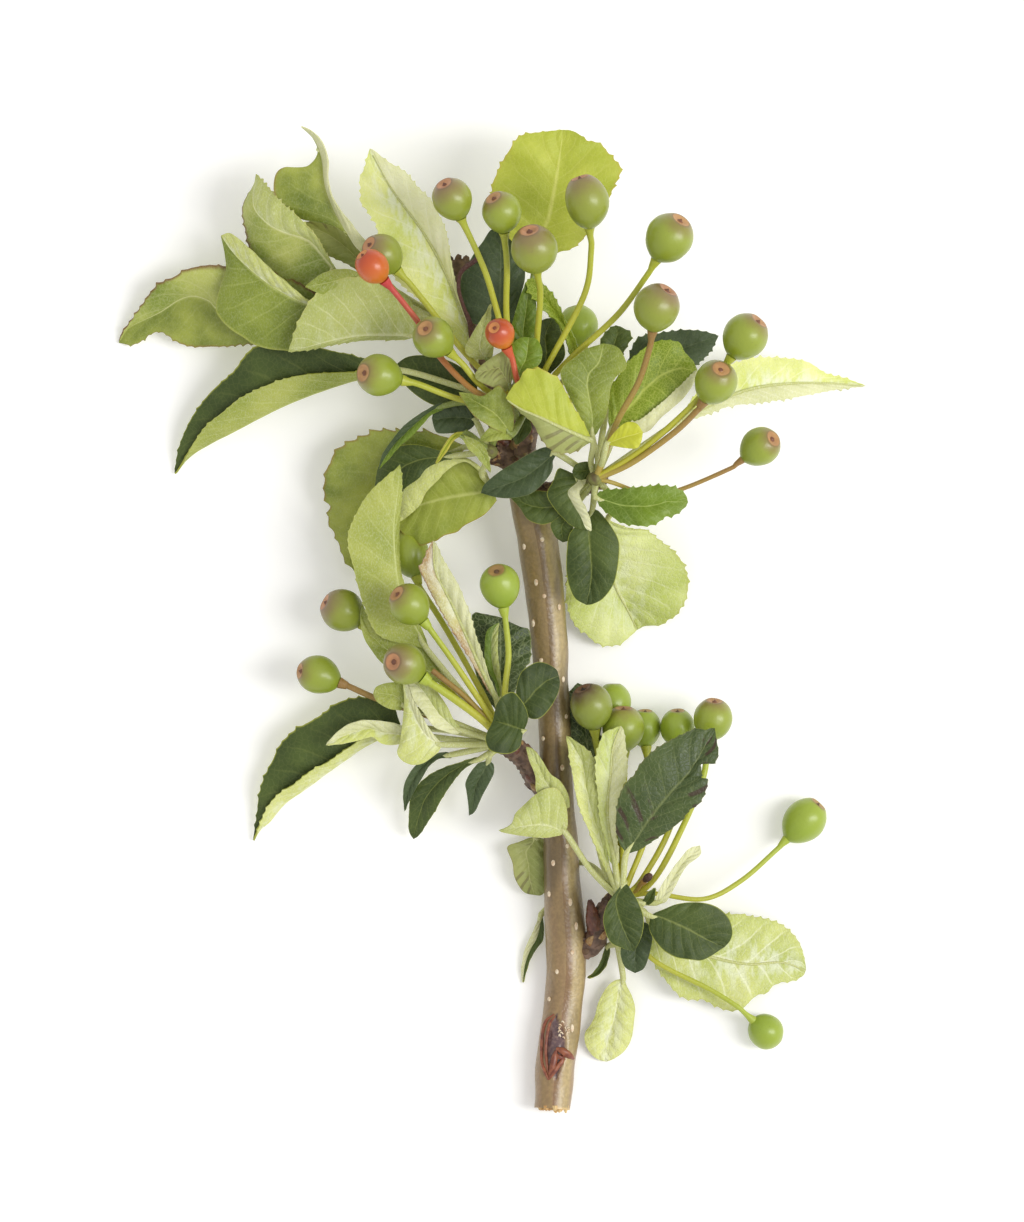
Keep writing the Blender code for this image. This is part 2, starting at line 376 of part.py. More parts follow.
LEAVES = {
    "top_leaves": TOP_LEAVES, "crown_dark_leaves": CROWN_DARK_LEAVES,
    "crown_pale_leaves": CROWN_PALE_LEAVES,
    "right_dark_leaves": RIGHT_DARK_LEAVES, "right_pale_leaves": RIGHT_PALE_LEAVES,
    "left_broad_leaf": LEFT_BROAD_LEAF, "left_dark_leaves": LEFT_DARK_LEAVES,
    "left_pale_leaves": LEFT_PALE_LEAVES, "middle_dark_leaves": MIDDLE_DARK_LEAVES,
    "middle_pale_leaves": MIDDLE_PALE_LEAVES, "middle_round_leaves": MIDDLE_ROUND_LEAVES,
    "lower_dark_leaves": LOWER_DARK_LEAVES, "lower_pale_leaves": LOWER_PALE_LEAVES,
}
FRUITS = {
    "crown_fruit": CROWN_FRUIT, "crown_red_fruitlets": CROWN_RED_FRUITLETS, "right_fruit": RIGHT_FRUIT,
    "middle_low_fruit": MIDDLE_LOW_FRUIT, "middle_fruit": MIDDLE_FRUIT, "lower_fruit": LOWER_FRUIT,
}


def clear_scene():
    """Remove every object of the startup scene."""
    for item in list(bpy.data.objects):
        bpy.data.objects.remove(item, do_unlink=True)


def make_collection(name):
    """Add a collection to the scene."""
    collection = bpy.data.collections.new(name)
    bpy.context.scene.collection.children.link(collection)
    return collection


def make_material(name, colour, roughness):
    """A plain material with the part's colour."""
    material = bpy.data.materials.new(name)
    material.use_nodes = True
    shader = material.node_tree.nodes["Principled BSDF"]
    shader.inputs["Base Color"].default_value = (*colour, 1.0)
    shader.inputs["Roughness"].default_value = roughness
    shader.inputs["Metallic"].default_value = 0.0
    return material


def evaluated_mesh(item):
    """The mesh of an object with its modifiers or its bevel applied."""
    bpy.context.view_layer.update()
    depsgraph = bpy.context.evaluated_depsgraph_get()
    return bpy.data.meshes.new_from_object(item.evaluated_get(depsgraph))


def mesh_object(name, bm, collection):
    """Turn a bmesh into an object of the collection."""
    mesh = bpy.data.meshes.new(name)
    bm.to_mesh(mesh)
    bm.free()
    item = bpy.data.objects.new(name, mesh)
    collection.objects.link(item)
    return item


def make_tube(name, route, bevel, collection):
    """A tube with filled ends along (x, y, z, radius) places."""
    curve = bpy.data.curves.new(name, "CURVE")
    curve.dimensions = "3D"
    curve.bevel_depth = MM
    curve.bevel_resolution = bevel
    curve.use_fill_caps = True
    spline = curve.splines.new("POLY")
    spline.points.add(len(route) - 1)
    for point, (x, y, z, radius) in zip(spline.points, route):
        point.co = (x * MM, y * MM, z * MM, 1.0)
        point.radius = radius
    outline = bpy.data.objects.new(name, curve)
    collection.objects.link(outline)
    mesh = evaluated_mesh(outline)
    bpy.data.objects.remove(outline, do_unlink=True)
    bm = bmesh.new()
    bm.from_mesh(mesh)
    bpy.data.meshes.remove(mesh)
    bmesh.ops.remove_doubles(bm, verts=bm.verts, dist=WELD_DISTANCE * MM)
    bmesh.ops.recalc_face_normals(bm, faces=bm.faces)
    return mesh_object(name, bm, collection)


def make_collar(storey, collection):
    """The short green collar that a spray's storey grows from."""
    bm = bmesh.new()
    height = (storey.top - storey.bottom) * MM
    centre = Vector((storey.x, storey.y, (storey.top + storey.bottom) / 2)) * MM
    bmesh.ops.create_cone(
        bm, cap_ends=True, segments=COLLAR_SIDES, radius1=storey.radius * MM, radius2=storey.radius * MM,
        depth=height, matrix=Matrix.Translation(centre),
    )
    return mesh_object(storey.name, bm, collection)


def half_width(outline, t):
    """Share of the full half width at a share t of the blade's length."""
    widest, base_power, tip_power, blunt = outline
    if t < widest:
        return max(math.sin(math.pi / 2 * t / widest), 0.0) ** base_power
    full = max(math.cos(math.pi / 2 * (t - widest) / (1 - widest)), 0.0) ** tip_power
    return max(full, blunt)


def through(base, mid, tip, t):
    """Point of the curve through a leaf's base, middle and tip."""
    first = 2 * (t - 0.5) * (t - 1)
    middle = 4 * t * (1 - t)
    last = 2 * t * (t - 0.5)
    return Vector(base) * first + Vector(mid) * middle + Vector(tip) * last


def blade_point(leaf, t, side, width):
    """Point of a blade at t along it, and side from -1, its right margin, to 1, its left margin."""
    centre = through(leaf.base, leaf.mid, leaf.tip, t)
    ahead = through(leaf.base, leaf.mid, leaf.tip, t + TANGENT_STEP)
    behind = through(leaf.base, leaf.mid, leaf.tip, t - TANGENT_STEP)
    forward = (ahead - behind).normalized()
    leftward = Vector((0, 0, 1)).cross(forward).normalized()
    upward = forward.cross(leftward)
    lift, curl = (leaf.lift[0], leaf.curl[0]) if side > 0 else (leaf.lift[1], leaf.curl[1])
    reach = abs(side) * width
    angle = math.radians(lift + curl * abs(side) / 2)
    outward = leftward if side > 0 else -leftward
    return centre + outward * math.cos(angle) * reach + upward * math.sin(angle) * reach


def leaf_steps(leaf):
    """Number of stretches along a blade: more for a longer one."""
    mid = Vector(leaf.mid)
    length = (mid - Vector(leaf.base)).length + (Vector(leaf.tip) - mid).length
    for limit, steps in STEPS_BY_LENGTH:
        if length < limit:
            return steps
    return LONG_BLADE_STEPS


def make_blade(leaf, collection):
    """One blade: a grid bent to the leaf's form, notched along its margins and given its thickness."""
    steps = leaf_steps(leaf)
    columns = CURLED_COLUMNS if any(leaf.curl) else FLAT_COLUMNS
    bm = bmesh.new()
    bmesh.ops.create_grid(bm, x_segments=steps, y_segments=columns, size=1.0)
    for vert in bm.verts:
        t = (vert.co.x + 1) / 2
        side = vert.co.y
        full = leaf.left if side > 0 else leaf.right
        width = full * half_width(leaf.outline, t)
        notch = leaf.toothed and abs(side) > NEAR_EDGE and round(t * steps) % 2 == 1
        width = max(width * (1 - TOOTH_DEPTH if notch else 1), BLADE_END)
        vert.co = blade_point(leaf, t, side, width) * MM
    bmesh.ops.triangulate(bm, faces=bm.faces)
    blade = mesh_object("blade", bm, collection)
    wall = blade.modifiers.new("thickness", "SOLIDIFY")
    wall.thickness = BLADE_THICKNESS * MM
    wall.offset = 0.0
    return blade


def make_petiole(leaf, storey, collection):
    """A leaf's petiole, from its collar or another petiole to a little way under the blade."""
    height = (storey.bottom + storey.top) / 2
    start = leaf.start or (storey.x, storey.y, height)
    rib_end = through(leaf.base, leaf.mid, leaf.tip, RIB_SHARE)
    places = [start, *leaf.via, leaf.base, tuple(rib_end)]
    radii = [PETIOLE_RADIUS] * (len(places) - 1) + [BLADE_THICKNESS / 2]
    route = [(*place, radius) for place, radius in zip(places, radii)]
    return make_tube("petiole", route, PETIOLE_BEVEL, collection)


def make_fruit(fruit, storey, collection):
    """A pedicel and the fruit on its end, with a dimple at the calyx."""
    start = Vector((storey.x, storey.y, (storey.bottom + storey.top) / 2))
    centre = Vector(fruit.centre)
    last = Vector(fruit.via[-1])
    axis = (centre - last).normalized()
    neck = centre - axis * fruit.length * PEDICEL_DEPTH
    places = [start, *(Vector(place) for place in fruit.via), neck]
    radii = [PEDICEL_RADIUS] * (len(places) - 1) + [PEDICEL_RADIUS * PEDICEL_FLARE]
    route = [(*place, radius) for place, radius in zip(places, radii)]
    stalk = make_tube("pedicel", route, STALK_BEVEL, collection)
    bm = bmesh.new()
    bmesh.ops.create_uvsphere(bm, u_segments=FRUIT_SIDES, v_segments=FRUIT_RINGS, radius=1.0)
    for vert in bm.verts:
        if vert.co.z > NEAR_EDGE:
            vert.co.z -= CALYX_DIMPLE
    turn = axis.to_track_quat("Z", "Y").to_matrix().to_4x4()
    size = Matrix.Diagonal((fruit.radius * MM, fruit.radius * MM, fruit.length * MM, 1.0))
    bm.transform(Matrix.Translation(centre * MM) @ turn @ size)
    return [stalk, mesh_object("fruit", bm, collection)]


def move_to(item, collection):
    """Leave an object in one collection only."""
    for owner in list(item.users_collection):
        owner.objects.unlink(item)
    collection.objects.link(item)


def fuse(base, pieces, name, target):
    """Join a base and its pieces in one solid, the node called name."""
    operands = make_collection("to_join")
    for piece in pieces:
        move_to(piece, operands)
    join = base.modifiers.new("join", "BOOLEAN")
    join.operation = "UNION"
    join.operand_type = "COLLECTION"
    join.collection = operands
    join.solver = "MANIFOLD"
    mesh = evaluated_mesh(base)
    base.modifiers.clear()
    base.data = mesh
    base.data.materials.clear()
    base.name = name
    for piece in pieces:
        bpy.data.objects.remove(piece, do_unlink=True)
    bpy.data.collections.remove(operands)
    move_to(base, target)
    return base


def stem_top(x, y):
    """Height of the stem's upper surface above a place."""
    for (x0, y0, z0, r0), (x1, y1, z1, r1) in zip(STEM, STEM[1:]):
        if y0 <= y <= y1:
            share = (y - y0) / (y1 - y0)
            centre = x0 + (x1 - x0) * share
            radius = r0 + (r1 - r0) * share
            across = min(abs(x - centre), radius)
            return z0 + (z1 - z0) * share + math.sqrt(radius ** 2 - across ** 2)
    return STEM[0][2]


def scar_rim(reach):
    """Route of one rim of the bud scar, bowed sideways by reach."""
    route = []
    for step in range(SCAR_STEPS + 1):
        share = step / SCAR_STEPS
        y = SCAR_BOTTOM_Y + (SCAR_TOP_Y - SCAR_BOTTOM_Y) * share
        x = SCAR_CENTRE_X + reach * math.sin(math.pi * share)
        route.append((x, y, stem_top(x, y), SCAR_RIM_RADIUS))
    return route


def spur_ring(route, index, collection):
    """A raised ring round a spur at one of its places, where older growth ended."""
    place = Vector(route[index][:3])
    axis = (place - Vector(route[index - 1][:3])).normalized()
    turn = axis.to_track_quat("Z", "Y").to_matrix().to_4x4()
    spread = (route[index][3] + SPUR_RING_RADIUS) * MM
    bm = bmesh.new()
    bmesh.ops.create_cone(
        bm, cap_ends=True, segments=COLLAR_SIDES, radius1=spread, radius2=spread * SPUR_RING_TAPER,
        depth=SPUR_RING_RADIUS * 2 * MM, matrix=Matrix.Translation(place * MM) @ turn,
    )
    return mesh_object("ring", bm, collection)


def make_wood(working, target):
    """The woody stem, its leader, spurs, bud and scar, cut level where it rests."""
    stem = make_tube("stem", STEM, STEM_BEVEL, working)
    pieces = []
    for route in (LEADER, CROWN_SPUR, LEFT_SPUR, RIGHT_SPUR, MIDDLE_SPUR, LOWER_SPUR, BUD, LEADER_BUD):
        pieces.append(make_tube("spur", route, TWIG_BEVEL, working))
    for reach in (-SCAR_LEFT_REACH, SCAR_RIGHT_REACH):
        pieces.append(make_tube("rim", scar_rim(reach), STALK_BEVEL, working))
    for route, index in SPUR_RINGS:
        pieces.append(spur_ring(route, index, working))
    wood = fuse(stem, pieces, "branch_wood", target)
    wood.data.materials.append(make_material("branch_wood", BARK, BARK_ROUGHNESS))
    cut_level(wood, working)


def cut_level(wood, working):
    """Take off what lies below the surface, which leaves the small flat spot."""
    bm = bmesh.new()
    bmesh.ops.create_cube(bm, size=1.0)
    width, length, depth = (size * MM for size in REST_BLOCK)
    lowered = Matrix.Translation((0.0, 0.0, -depth / 2))
    bm.transform(lowered @ Matrix.Diagonal((width, length, depth, 1.0)))
    block = mesh_object("block", bm, working)
    cut = wood.modifiers.new("level", "BOOLEAN")
    cut.operation = "DIFFERENCE"
    cut.object = block
    mesh = evaluated_mesh(wood)
    wood.modifiers.clear()
    wood.data = mesh
    bpy.data.objects.remove(block, do_unlink=True)


def make_leaf_set(storey, leaves, working, target):
    """A collar with its leaves, fused."""
    collar = make_collar(storey, working)
    pieces = []
    for leaf in leaves:
        pieces.append(make_blade(leaf, working))
        pieces.append(make_petiole(leaf, storey, working))
    fused = fuse(collar, pieces, storey.name, target)
    fused.data.materials.append(make_material(storey.name, storey.colour, LEAF_ROUGHNESS))


def make_fruit_set(storey, fruits, extra_routes, working, target):
    """A knob with its pedicels and fruit, fused."""
    knob = make_collar(storey, working)
    pieces = []
    for fruit in fruits:
        pieces.extend(make_fruit(fruit, storey, working))
    for route in extra_routes:
        pieces.append(make_tube("stalk", route, STALK_BEVEL, working))
    fused = fuse(knob, pieces, storey.name, target)
    fused.data.materials.append(make_material(storey.name, storey.colour, FRUIT_ROUGHNESS))


def make_dried_stalk(working, target):
    """The thin dried stalk that stands on the top spray."""
    stalk = make_tube("crown_dried_stalk", DRIED_STALK, STALK_BEVEL, working)
    stalk.data.materials.append(make_material("crown_dried_stalk", DRY_BROWN, DRY_ROUGHNESS))
    move_to(stalk, target)


def main():
    """Build the branch."""
    clear_scene()
    target = make_collection("crabapple_branch")
    working = make_collection("working")
    make_wood(working, target)
    for name, leaves in LEAVES.items():
        make_leaf_set(STOREYS[name], leaves, working, target)
    for name, fruits in FRUITS.items():
        extra = (EMPTY_STALK,) if name == "middle_fruit" else ()
        grown = fruits + (WITHERED_FRUITLET,) if name == "lower_fruit" else fruits
        make_fruit_set(STOREYS[name], grown, extra, working, target)
    make_dried_stalk(working, target)
    bpy.data.collections.remove(working)
    for item in target.objects:
        item.data.shade_smooth()
        item.data.set_sharp_from_angle(angle=math.radians(SMOOTH_ANGLE))


main()
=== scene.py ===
"""Looks of a cut crabapple branch with young green fruit, laid over its CAD nodes.

Sizes are in millimetres in the row frame, and become metres where vertices are placed. Every leaf is
drawn by its midrib and its two margins, seen from above, with heights of its own. Each spray is one
piece that stands for the CAD node of the same name. Lines through places are written as "x,y x,y", with
a height and a radius after them where they have one.
"""

import logging
import math
from collections.abc import Callable
from dataclasses import dataclass
from enum import Enum

import bpy
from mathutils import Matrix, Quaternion, Vector, noise


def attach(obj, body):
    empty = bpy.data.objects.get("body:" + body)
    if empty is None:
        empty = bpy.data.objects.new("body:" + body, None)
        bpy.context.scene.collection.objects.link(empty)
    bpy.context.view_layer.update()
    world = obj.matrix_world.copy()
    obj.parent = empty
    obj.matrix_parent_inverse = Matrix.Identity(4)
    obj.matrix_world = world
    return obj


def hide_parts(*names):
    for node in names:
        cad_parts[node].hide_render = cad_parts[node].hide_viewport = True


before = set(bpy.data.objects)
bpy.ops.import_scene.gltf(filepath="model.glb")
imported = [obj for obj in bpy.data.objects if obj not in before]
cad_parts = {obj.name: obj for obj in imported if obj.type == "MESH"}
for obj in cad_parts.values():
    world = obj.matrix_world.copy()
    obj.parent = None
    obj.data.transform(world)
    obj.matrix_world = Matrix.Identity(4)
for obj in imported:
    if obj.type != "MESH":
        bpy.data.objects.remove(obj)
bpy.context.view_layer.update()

MM = 0.001
LOG = logging.getLogger("crabapple_branch")

SMOOTH_ANGLE = math.radians(50)
MERGE_DISTANCE = 0.005
SPIRAL_TURN = 2.4
HAIR_TINT = "#E9ECDC"
SPECK_TINT = "#6E6434"
FLECK_TINT = "#84685E"
UP = Vector((0, 0, 1))

Item = bpy.types.Object
Material = bpy.types.Material
Node = bpy.types.Node
NodeTree = bpy.types.NodeTree
Socket = bpy.types.NodeSocket
Outline = str
Heights = tuple[float, float, float]
Rise = float | Heights
Place = tuple[float, float, float]
Route = tuple[tuple[float, ...], ...]


def places(text: str) -> Route:
    """Read places written as "x,y x,y".

    Args:
        text: the places, each with a height and a radius after it where it has one.

    Returns:
        The numbers of each place.
    """
    return tuple(tuple(map(float, place.split(","))) for place in text.split())


def vectors(text: str) -> list[Vector]:
    """Read places that have a height as vectors.

    Args:
        text: the places, as "x,y,z x,y,z".

    Returns:
        One vector for each place.
    """
    return [Vector(place) for place in places(text)]


def flat_places(outline: Outline) -> list[Vector]:
    """Read an outline as vectors at height 0.

    Args:
        outline: the places, as "x,y x,y".

    Returns:
        One vector for each place.
    """
    return [Vector((x, y, 0)) for x, y in places(outline)]


def with_radii(stops: list[Vector], radii: list[float]) -> Route:
    """Put a stalk's stops and its radii together.

    Args:
        stops: places that the middle of the stalk passes.
        radii: its radius at each stop.

    Returns:
        The route that Stalk takes.
    """
    return tuple((*stop, radius) for stop, radius in zip(stops, radii))


def tint(code: str) -> tuple[float, float, float, float]:
    """Turn a colour written as #RRGGBB into the linear values that a shader takes.

    Args:
        code: the colour, as seen on a screen.

    Returns:
        Red, green, blue and alpha, from 0 to 1.
    """
    shares = [int(code[start:start + 2], 16) / 255 for start in (1, 3, 5)]
    linear = [share / 12.92 if share <= 0.04045 else ((share + 0.055) / 1.055) ** 2.4 for share in shares]
    return (*linear, 1.0)


def spline_points(points: list[Vector], count: int) -> list[Vector]:
    """Lay evenly spaced points on a smooth curve through places.

    Args:
        points: places that the curve passes.
        count: number of points wanted, ends included.

    Returns:
        The points, from the first place to the last.
    """
    parts = 8
    fine: list[Vector] = []
    padded = [points[0] * 2 - points[1], *points, points[-1] * 2 - points[-2]]
    for first, start, end, last in zip(padded, padded[1:], padded[2:], padded[3:]):
        for step in range(parts):
            t = step / parts
            fine.append(
                (start * 2 + (end - first) * t + (first * 2 - start * 5 + end * 4 - last) * t ** 2
                 + (start * 3 - first - end * 3 + last) * t ** 3) * 0.5
            )
    fine.append(points[-1])
    lengths = [0.0]
    for start, end in zip(fine, fine[1:]):
        lengths.append(lengths[-1] + (end - start).length)
    spaced: list[Vector] = []
    index = 0
    for step in range(count):
        wanted = lengths[-1] * step / (count - 1)
        while index < len(fine) - 2 and lengths[index + 1] < wanted:
            index += 1
        stretch = lengths[index + 1] - lengths[index]
        share = (wanted - lengths[index]) / stretch if stretch > 0 else 0.0
        spaced.append(fine[index].lerp(fine[index + 1], min(max(share, 0.0), 1.0)))
    return spaced


def bowed(heights: Heights, t: float) -> float:
    """Height on the curve through the heights at its base, middle and tip.

    Args:
        heights: the three heights.
        t: share of the way from the base to the tip.

    Returns:
        The height there.
    """
    base, middle, tip = heights
    return base * 2 * (t - 0.5) * (t - 1) + middle * 4 * t * (1 - t) + tip * 2 * t * (t - 0.5)


def add(primitive: Callable[..., set[str]], **sizes: object) -> Item:
    """Add a primitive at the origin, with nothing else selected.

    Args:
        primitive: the operator that makes it.
        sizes: what the operator is given.

    Returns:
        The new object, active and alone in the selection.
    """
    bpy.ops.object.select_all(action="DESELECT")
    primitive(location=(0, 0, 0), **sizes)
    return bpy.context.active_object


def add_grid(rows: int, columns: int) -> Item:
    """Add a grid with its own UV map.

    Args:
        rows: number of faces along it.
        columns: number of faces across it.

    Returns:
        The new grid, two units wide.
    """
    return add(bpy.ops.mesh.primitive_grid_add, x_subdivisions=rows, y_subdivisions=columns, size=2.0)


def close_surface(recalculate: bool) -> None:
    """Merge the active object's points that lie together.

    Args:
        recalculate: whether its faces are turned outwards too.
    """
    bpy.ops.object.mode_set(mode="EDIT")
    bpy.ops.mesh.select_all(action="SELECT")
    bpy.ops.mesh.remove_doubles(threshold=MERGE_DISTANCE * MM)
    if recalculate:
        bpy.ops.mesh.normals_make_consistent(inside=False)
    bpy.ops.object.mode_set(mode="OBJECT")


def give_wall(item: Item, thickness: float, material_offset: int = 0) -> None:
    """Give an open surface a wall below it.

    Args:
        item: the surface.
        thickness: thickness of the wall.
        material_offset: how many slots on the material of its other side is.
    """
    wall = item.modifiers.new("wall", "SOLIDIFY")
    wall.thickness = thickness * MM
    wall.offset = -1.0
    wall.material_offset = material_offset
    bpy.ops.object.modifier_apply(modifier=wall.name)


def join(pieces: list[Item], name: str) -> Item:
    """Join objects into one, under a new name.

    Args:
        pieces: the objects.
        name: name of the joined piece.

    Returns:
        The joined piece, shaded smooth except at sharp edges.
    """
    bpy.ops.object.select_all(action="DESELECT")
    for piece in pieces:
        piece.select_set(True)
    bpy.context.view_layer.objects.active = pieces[0]
    bpy.ops.object.join()
    joined = bpy.context.active_object
    joined.name = name
    joined.data.name = name
    bpy.ops.object.shade_smooth_by_angle(angle=SMOOTH_ANGLE)
    return joined


# ---------------------------------------------------------------- finishes


class Wiring:
    """Adds and links the nodes of one node tree."""

    def __init__(self, tree: NodeTree) -> None:
        """Take the tree that the nodes go into."""
        self.tree = tree

    def node(self, kind: str, **settings: object) -> Node:
        """Add a node of a kind, with its settings."""
        made = self.tree.nodes.new(kind)
        for key, value in settings.items():
            setattr(made, key, value)
        return made

    def feed(self, socket: Socket, value: object) -> None:
        """Link a socket to another one, or give it a value, such as a colour written as #RRGGBB."""
        if isinstance(value, Socket):
            self.tree.links.new(value, socket)
        else:
            socket.default_value = tint(value) if isinstance(value, str) else value

    def sum(self, operation: str, *values: object) -> Socket:
        """Do sums: a Math node of an operation on one to three values."""
        made = self.node("ShaderNodeMath", operation=operation)
        for socket, value in zip(made.inputs, values):
            self.feed(socket, value)
        return made.outputs[0]

    def times(self, first: object, second: object) -> Socket:
        """Multiply two values."""
        return self.sum("MULTIPLY", first, second)

    def span(self, value: object, low: object, high: object, start: object = 0.0,
             end: object = 1.0) -> Socket:
        """Turn a value between low and high smoothly into one between start and end."""
        made = self.node("ShaderNodeMapRange", interpolation_type="SMOOTHSTEP")
        for name, given in (("Value", value), ("From Min", low), ("From Max", high),
                            ("To Min", start), ("To Max", end)):
            self.feed(made.inputs[name], given)
        return made.outputs["Result"]

    def blend(self, share: object, first: object, second: object) -> Socket:
        """Blend two colours by a share."""
        made = self.node("ShaderNodeMix", data_type="RGBA")
        self.feed(made.inputs[0], share)
        self.feed(made.inputs[6], first)
        self.feed(made.inputs[7], second)
        return made.outputs[2]

    def place(self, kind: str = "Object") -> Socket:
        """Object or UV coordinates."""
        return self.node("ShaderNodeTexCoord").outputs[kind]

    def stretched(self, scale: tuple[float, float, float]) -> Socket:
        """Object coordinates scaled by an amount along each axis."""
        made = self.node("ShaderNodeMapping")
        self.feed(made.inputs["Vector"], self.place())
        made.inputs["Scale"].default_value = scale
        return made.outputs["Vector"]

    def split(self, kind: str = "Object") -> bpy.types.NodeOutputs:
        """Object or UV coordinates one by one, as outputs X, Y and Z."""
        made = self.node("ShaderNodeSeparateXYZ")
        self.feed(made.inputs[0], self.place(kind))
        return made.outputs

    def cloud(self, vector: object, scale: object, detail: float = 2.0) -> Socket:
        """Noise from 0 to 1 over a place."""
        made = self.node("ShaderNodeTexNoise")
        self.feed(made.inputs["Vector"], vector)
        self.feed(made.inputs["Scale"], scale)
        made.inputs["Detail"].default_value = detail
        return made.outputs["Fac"]


def new_group(name: str, inputs: dict[str, float],
              outputs: tuple[str, ...]) -> tuple[Wiring, Node, Node]:
    """Start a shader node group.

    Args:
        name: name of the group.
        inputs: names and starting values of its number inputs.
        outputs: names of its number outputs.

    Returns:
        Its wiring, its input node and its output node.
    """
    tree = bpy.data.node_groups.new(name, "ShaderNodeTree")
    for key, value in inputs.items():
        socket = tree.interface.new_socket(name=key, in_out="INPUT", socket_type="NodeSocketFloat")
        socket.default_value = value
    for key in outputs:
        tree.interface.new_socket(name=key, in_out="OUTPUT", socket_type="NodeSocketFloat")
    wiring = Wiring(tree)
    return wiring, wiring.node("NodeGroupInput"), wiring.node("NodeGroupOutput")


def leaf_pattern() -> NodeTree:
    """Veins, midrib, net and margin of a leaf, read from its own UV map: u along it and v across it.

    Returns:
        The node group, built once.
    """
    known = bpy.data.node_groups.get("leaf_pattern")
    if known:
        return known
    wiring, given, result = new_group(
        "leaf_pattern", {"Veins": 8.0, "Slant": 1.6, "Vein width": 0.075, "Net scale": 1000.0},
        ("Vein", "Midrib", "Net", "Margin", "Relief"),
    )
    uv = wiring.split("UV")
    along = uv["X"]
    side = wiring.sum("SUBTRACT", uv["Y"], 0.5)
    across = wiring.times(wiring.sum("ABSOLUTE", side), 2.0)
    turn = wiring.times(wiring.sum("SIGN", side), 0.25)
    drift = wiring.times(wiring.cloud(wiring.place(), 120.0), 0.5)
    bent = wiring.sum("POWER", across, 0.8)
    phase = wiring.sum("SUBTRACT", wiring.times(along, given.outputs["Veins"]),
                       wiring.times(bent, given.outputs["Slant"]))
    phase = wiring.sum("ADD", wiring.sum("ADD", phase, turn), drift)
    near = wiring.sum("PINGPONG", phase, 0.5)
    fading = wiring.span(across, 0.55, 1.0, 1.0, 0.15)
    vein = wiring.span(near, 0.0, given.outputs["Vein width"], 1.0, 0.0)
    reach = wiring.sum("MULTIPLY_ADD", along, -0.055, 0.085)
    net = wiring.node("ShaderNodeTexVoronoi", feature="DISTANCE_TO_EDGE")
    wiring.feed(net.inputs["Vector"], wiring.place())
    wiring.feed(net.inputs["Scale"], given.outputs["Net scale"])
    wiring.feed(result.inputs["Vein"], wiring.times(vein, fading))
    wiring.feed(result.inputs["Midrib"], wiring.span(across, 0.0, reach, 1.0, 0.0))
    wiring.feed(result.inputs["Net"], wiring.span(net.outputs["Distance"], 0.0, 0.12, 1.0, 0.0))
    wiring.feed(result.inputs["Margin"], across)
    wiring.feed(result.inputs["Relief"], wiring.span(near, 0.0, 0.4))
    return wiring.tree


def blotches() -> NodeTree:
    """Broad patches, fine grain and short pale hairs over a surface, for every finish.

    Returns:
        The node group, built once.
    """
    known = bpy.data.node_groups.get("blotches")
    if known:
        return known
    wiring, given, result = new_group(
        "blotches", {"Patch scale": 90.0, "Hair scale": 4600.0}, ("Patch", "Grain", "Hair"),
    )
    broad = wiring.cloud(wiring.place(), given.outputs["Patch scale"], 3.0)
    fine = wiring.cloud(wiring.place(), 1400.0, 2.0)
    hair = wiring.cloud(wiring.stretched((1.0, 0.45, 1.0)), given.outputs["Hair scale"], 1.0)
    wiring.feed(result.inputs["Patch"], wiring.span(broad, 0.3, 0.7))
    wiring.feed(result.inputs["Grain"], wiring.span(fine, 0.3, 0.7))
    wiring.feed(result.inputs["Hair"], wiring.span(hair, 0.45, 0.75))
    return wiring.tree


def use_group(wiring: Wiring, tree: NodeTree, **values: float) -> Node:
    """Put a node group in a material, with its own values."""
    made = wiring.node("ShaderNodeGroup", node_tree=tree)
    for key, value in values.items():
        made.inputs[key.replace("_", " ").capitalize()].default_value = value
    return made


def new_material(name: str) -> tuple[Material, Wiring, Node]:
    """Start a material.

    Args:
        name: name of the material.

    Returns:
        The material, its wiring and its Principled shader.
    """
    material = bpy.data.materials.new(name)
    material.use_nodes = True
    return material, Wiring(material.node_tree), material.node_tree.nodes["Principled BSDF"]


def raise_relief(wiring: Wiring, shader: Node, height: object, strength: float,
                 depth: float) -> None:
    """Feed a shader's normal from a height.

    Args:
        wiring: wiring of the material.
        shader: its Principled shader.
        height: the height, from 0 to about 1.
        strength: how strongly it shows.
        depth: how deep a height of 1 is.
    """
    bump = wiring.node("ShaderNodeBump")
    bump.inputs["Strength"].default_value = strength
    bump.inputs["Distance"].default_value = depth * MM
    wiring.feed(bump.inputs["Height"], height)
    wiring.feed(shader.inputs["Normal"], bump.outputs["Normal"])


def set_surface(wiring: Wiring, shader: Node, colour: object, rough: object, coat: float = 0.0,
                coat_rough: float = 0.03) -> None:
    """Give a shader its colour and gloss.

    Args:
        wiring: wiring of the material.
        shader: its Principled shader.
        colour: base colour.
        rough: roughness.
        coat: weight of the coat.
        coat_rough: roughness of the coat.
    """
    wiring.feed(shader.inputs["Base Color"], colour)
    wiring.feed(shader.inputs["Roughness"], rough)
    shader.inputs["Coat Weight"].default_value = coat
    shader.inputs["Coat Roughness"].default_value = coat_rough


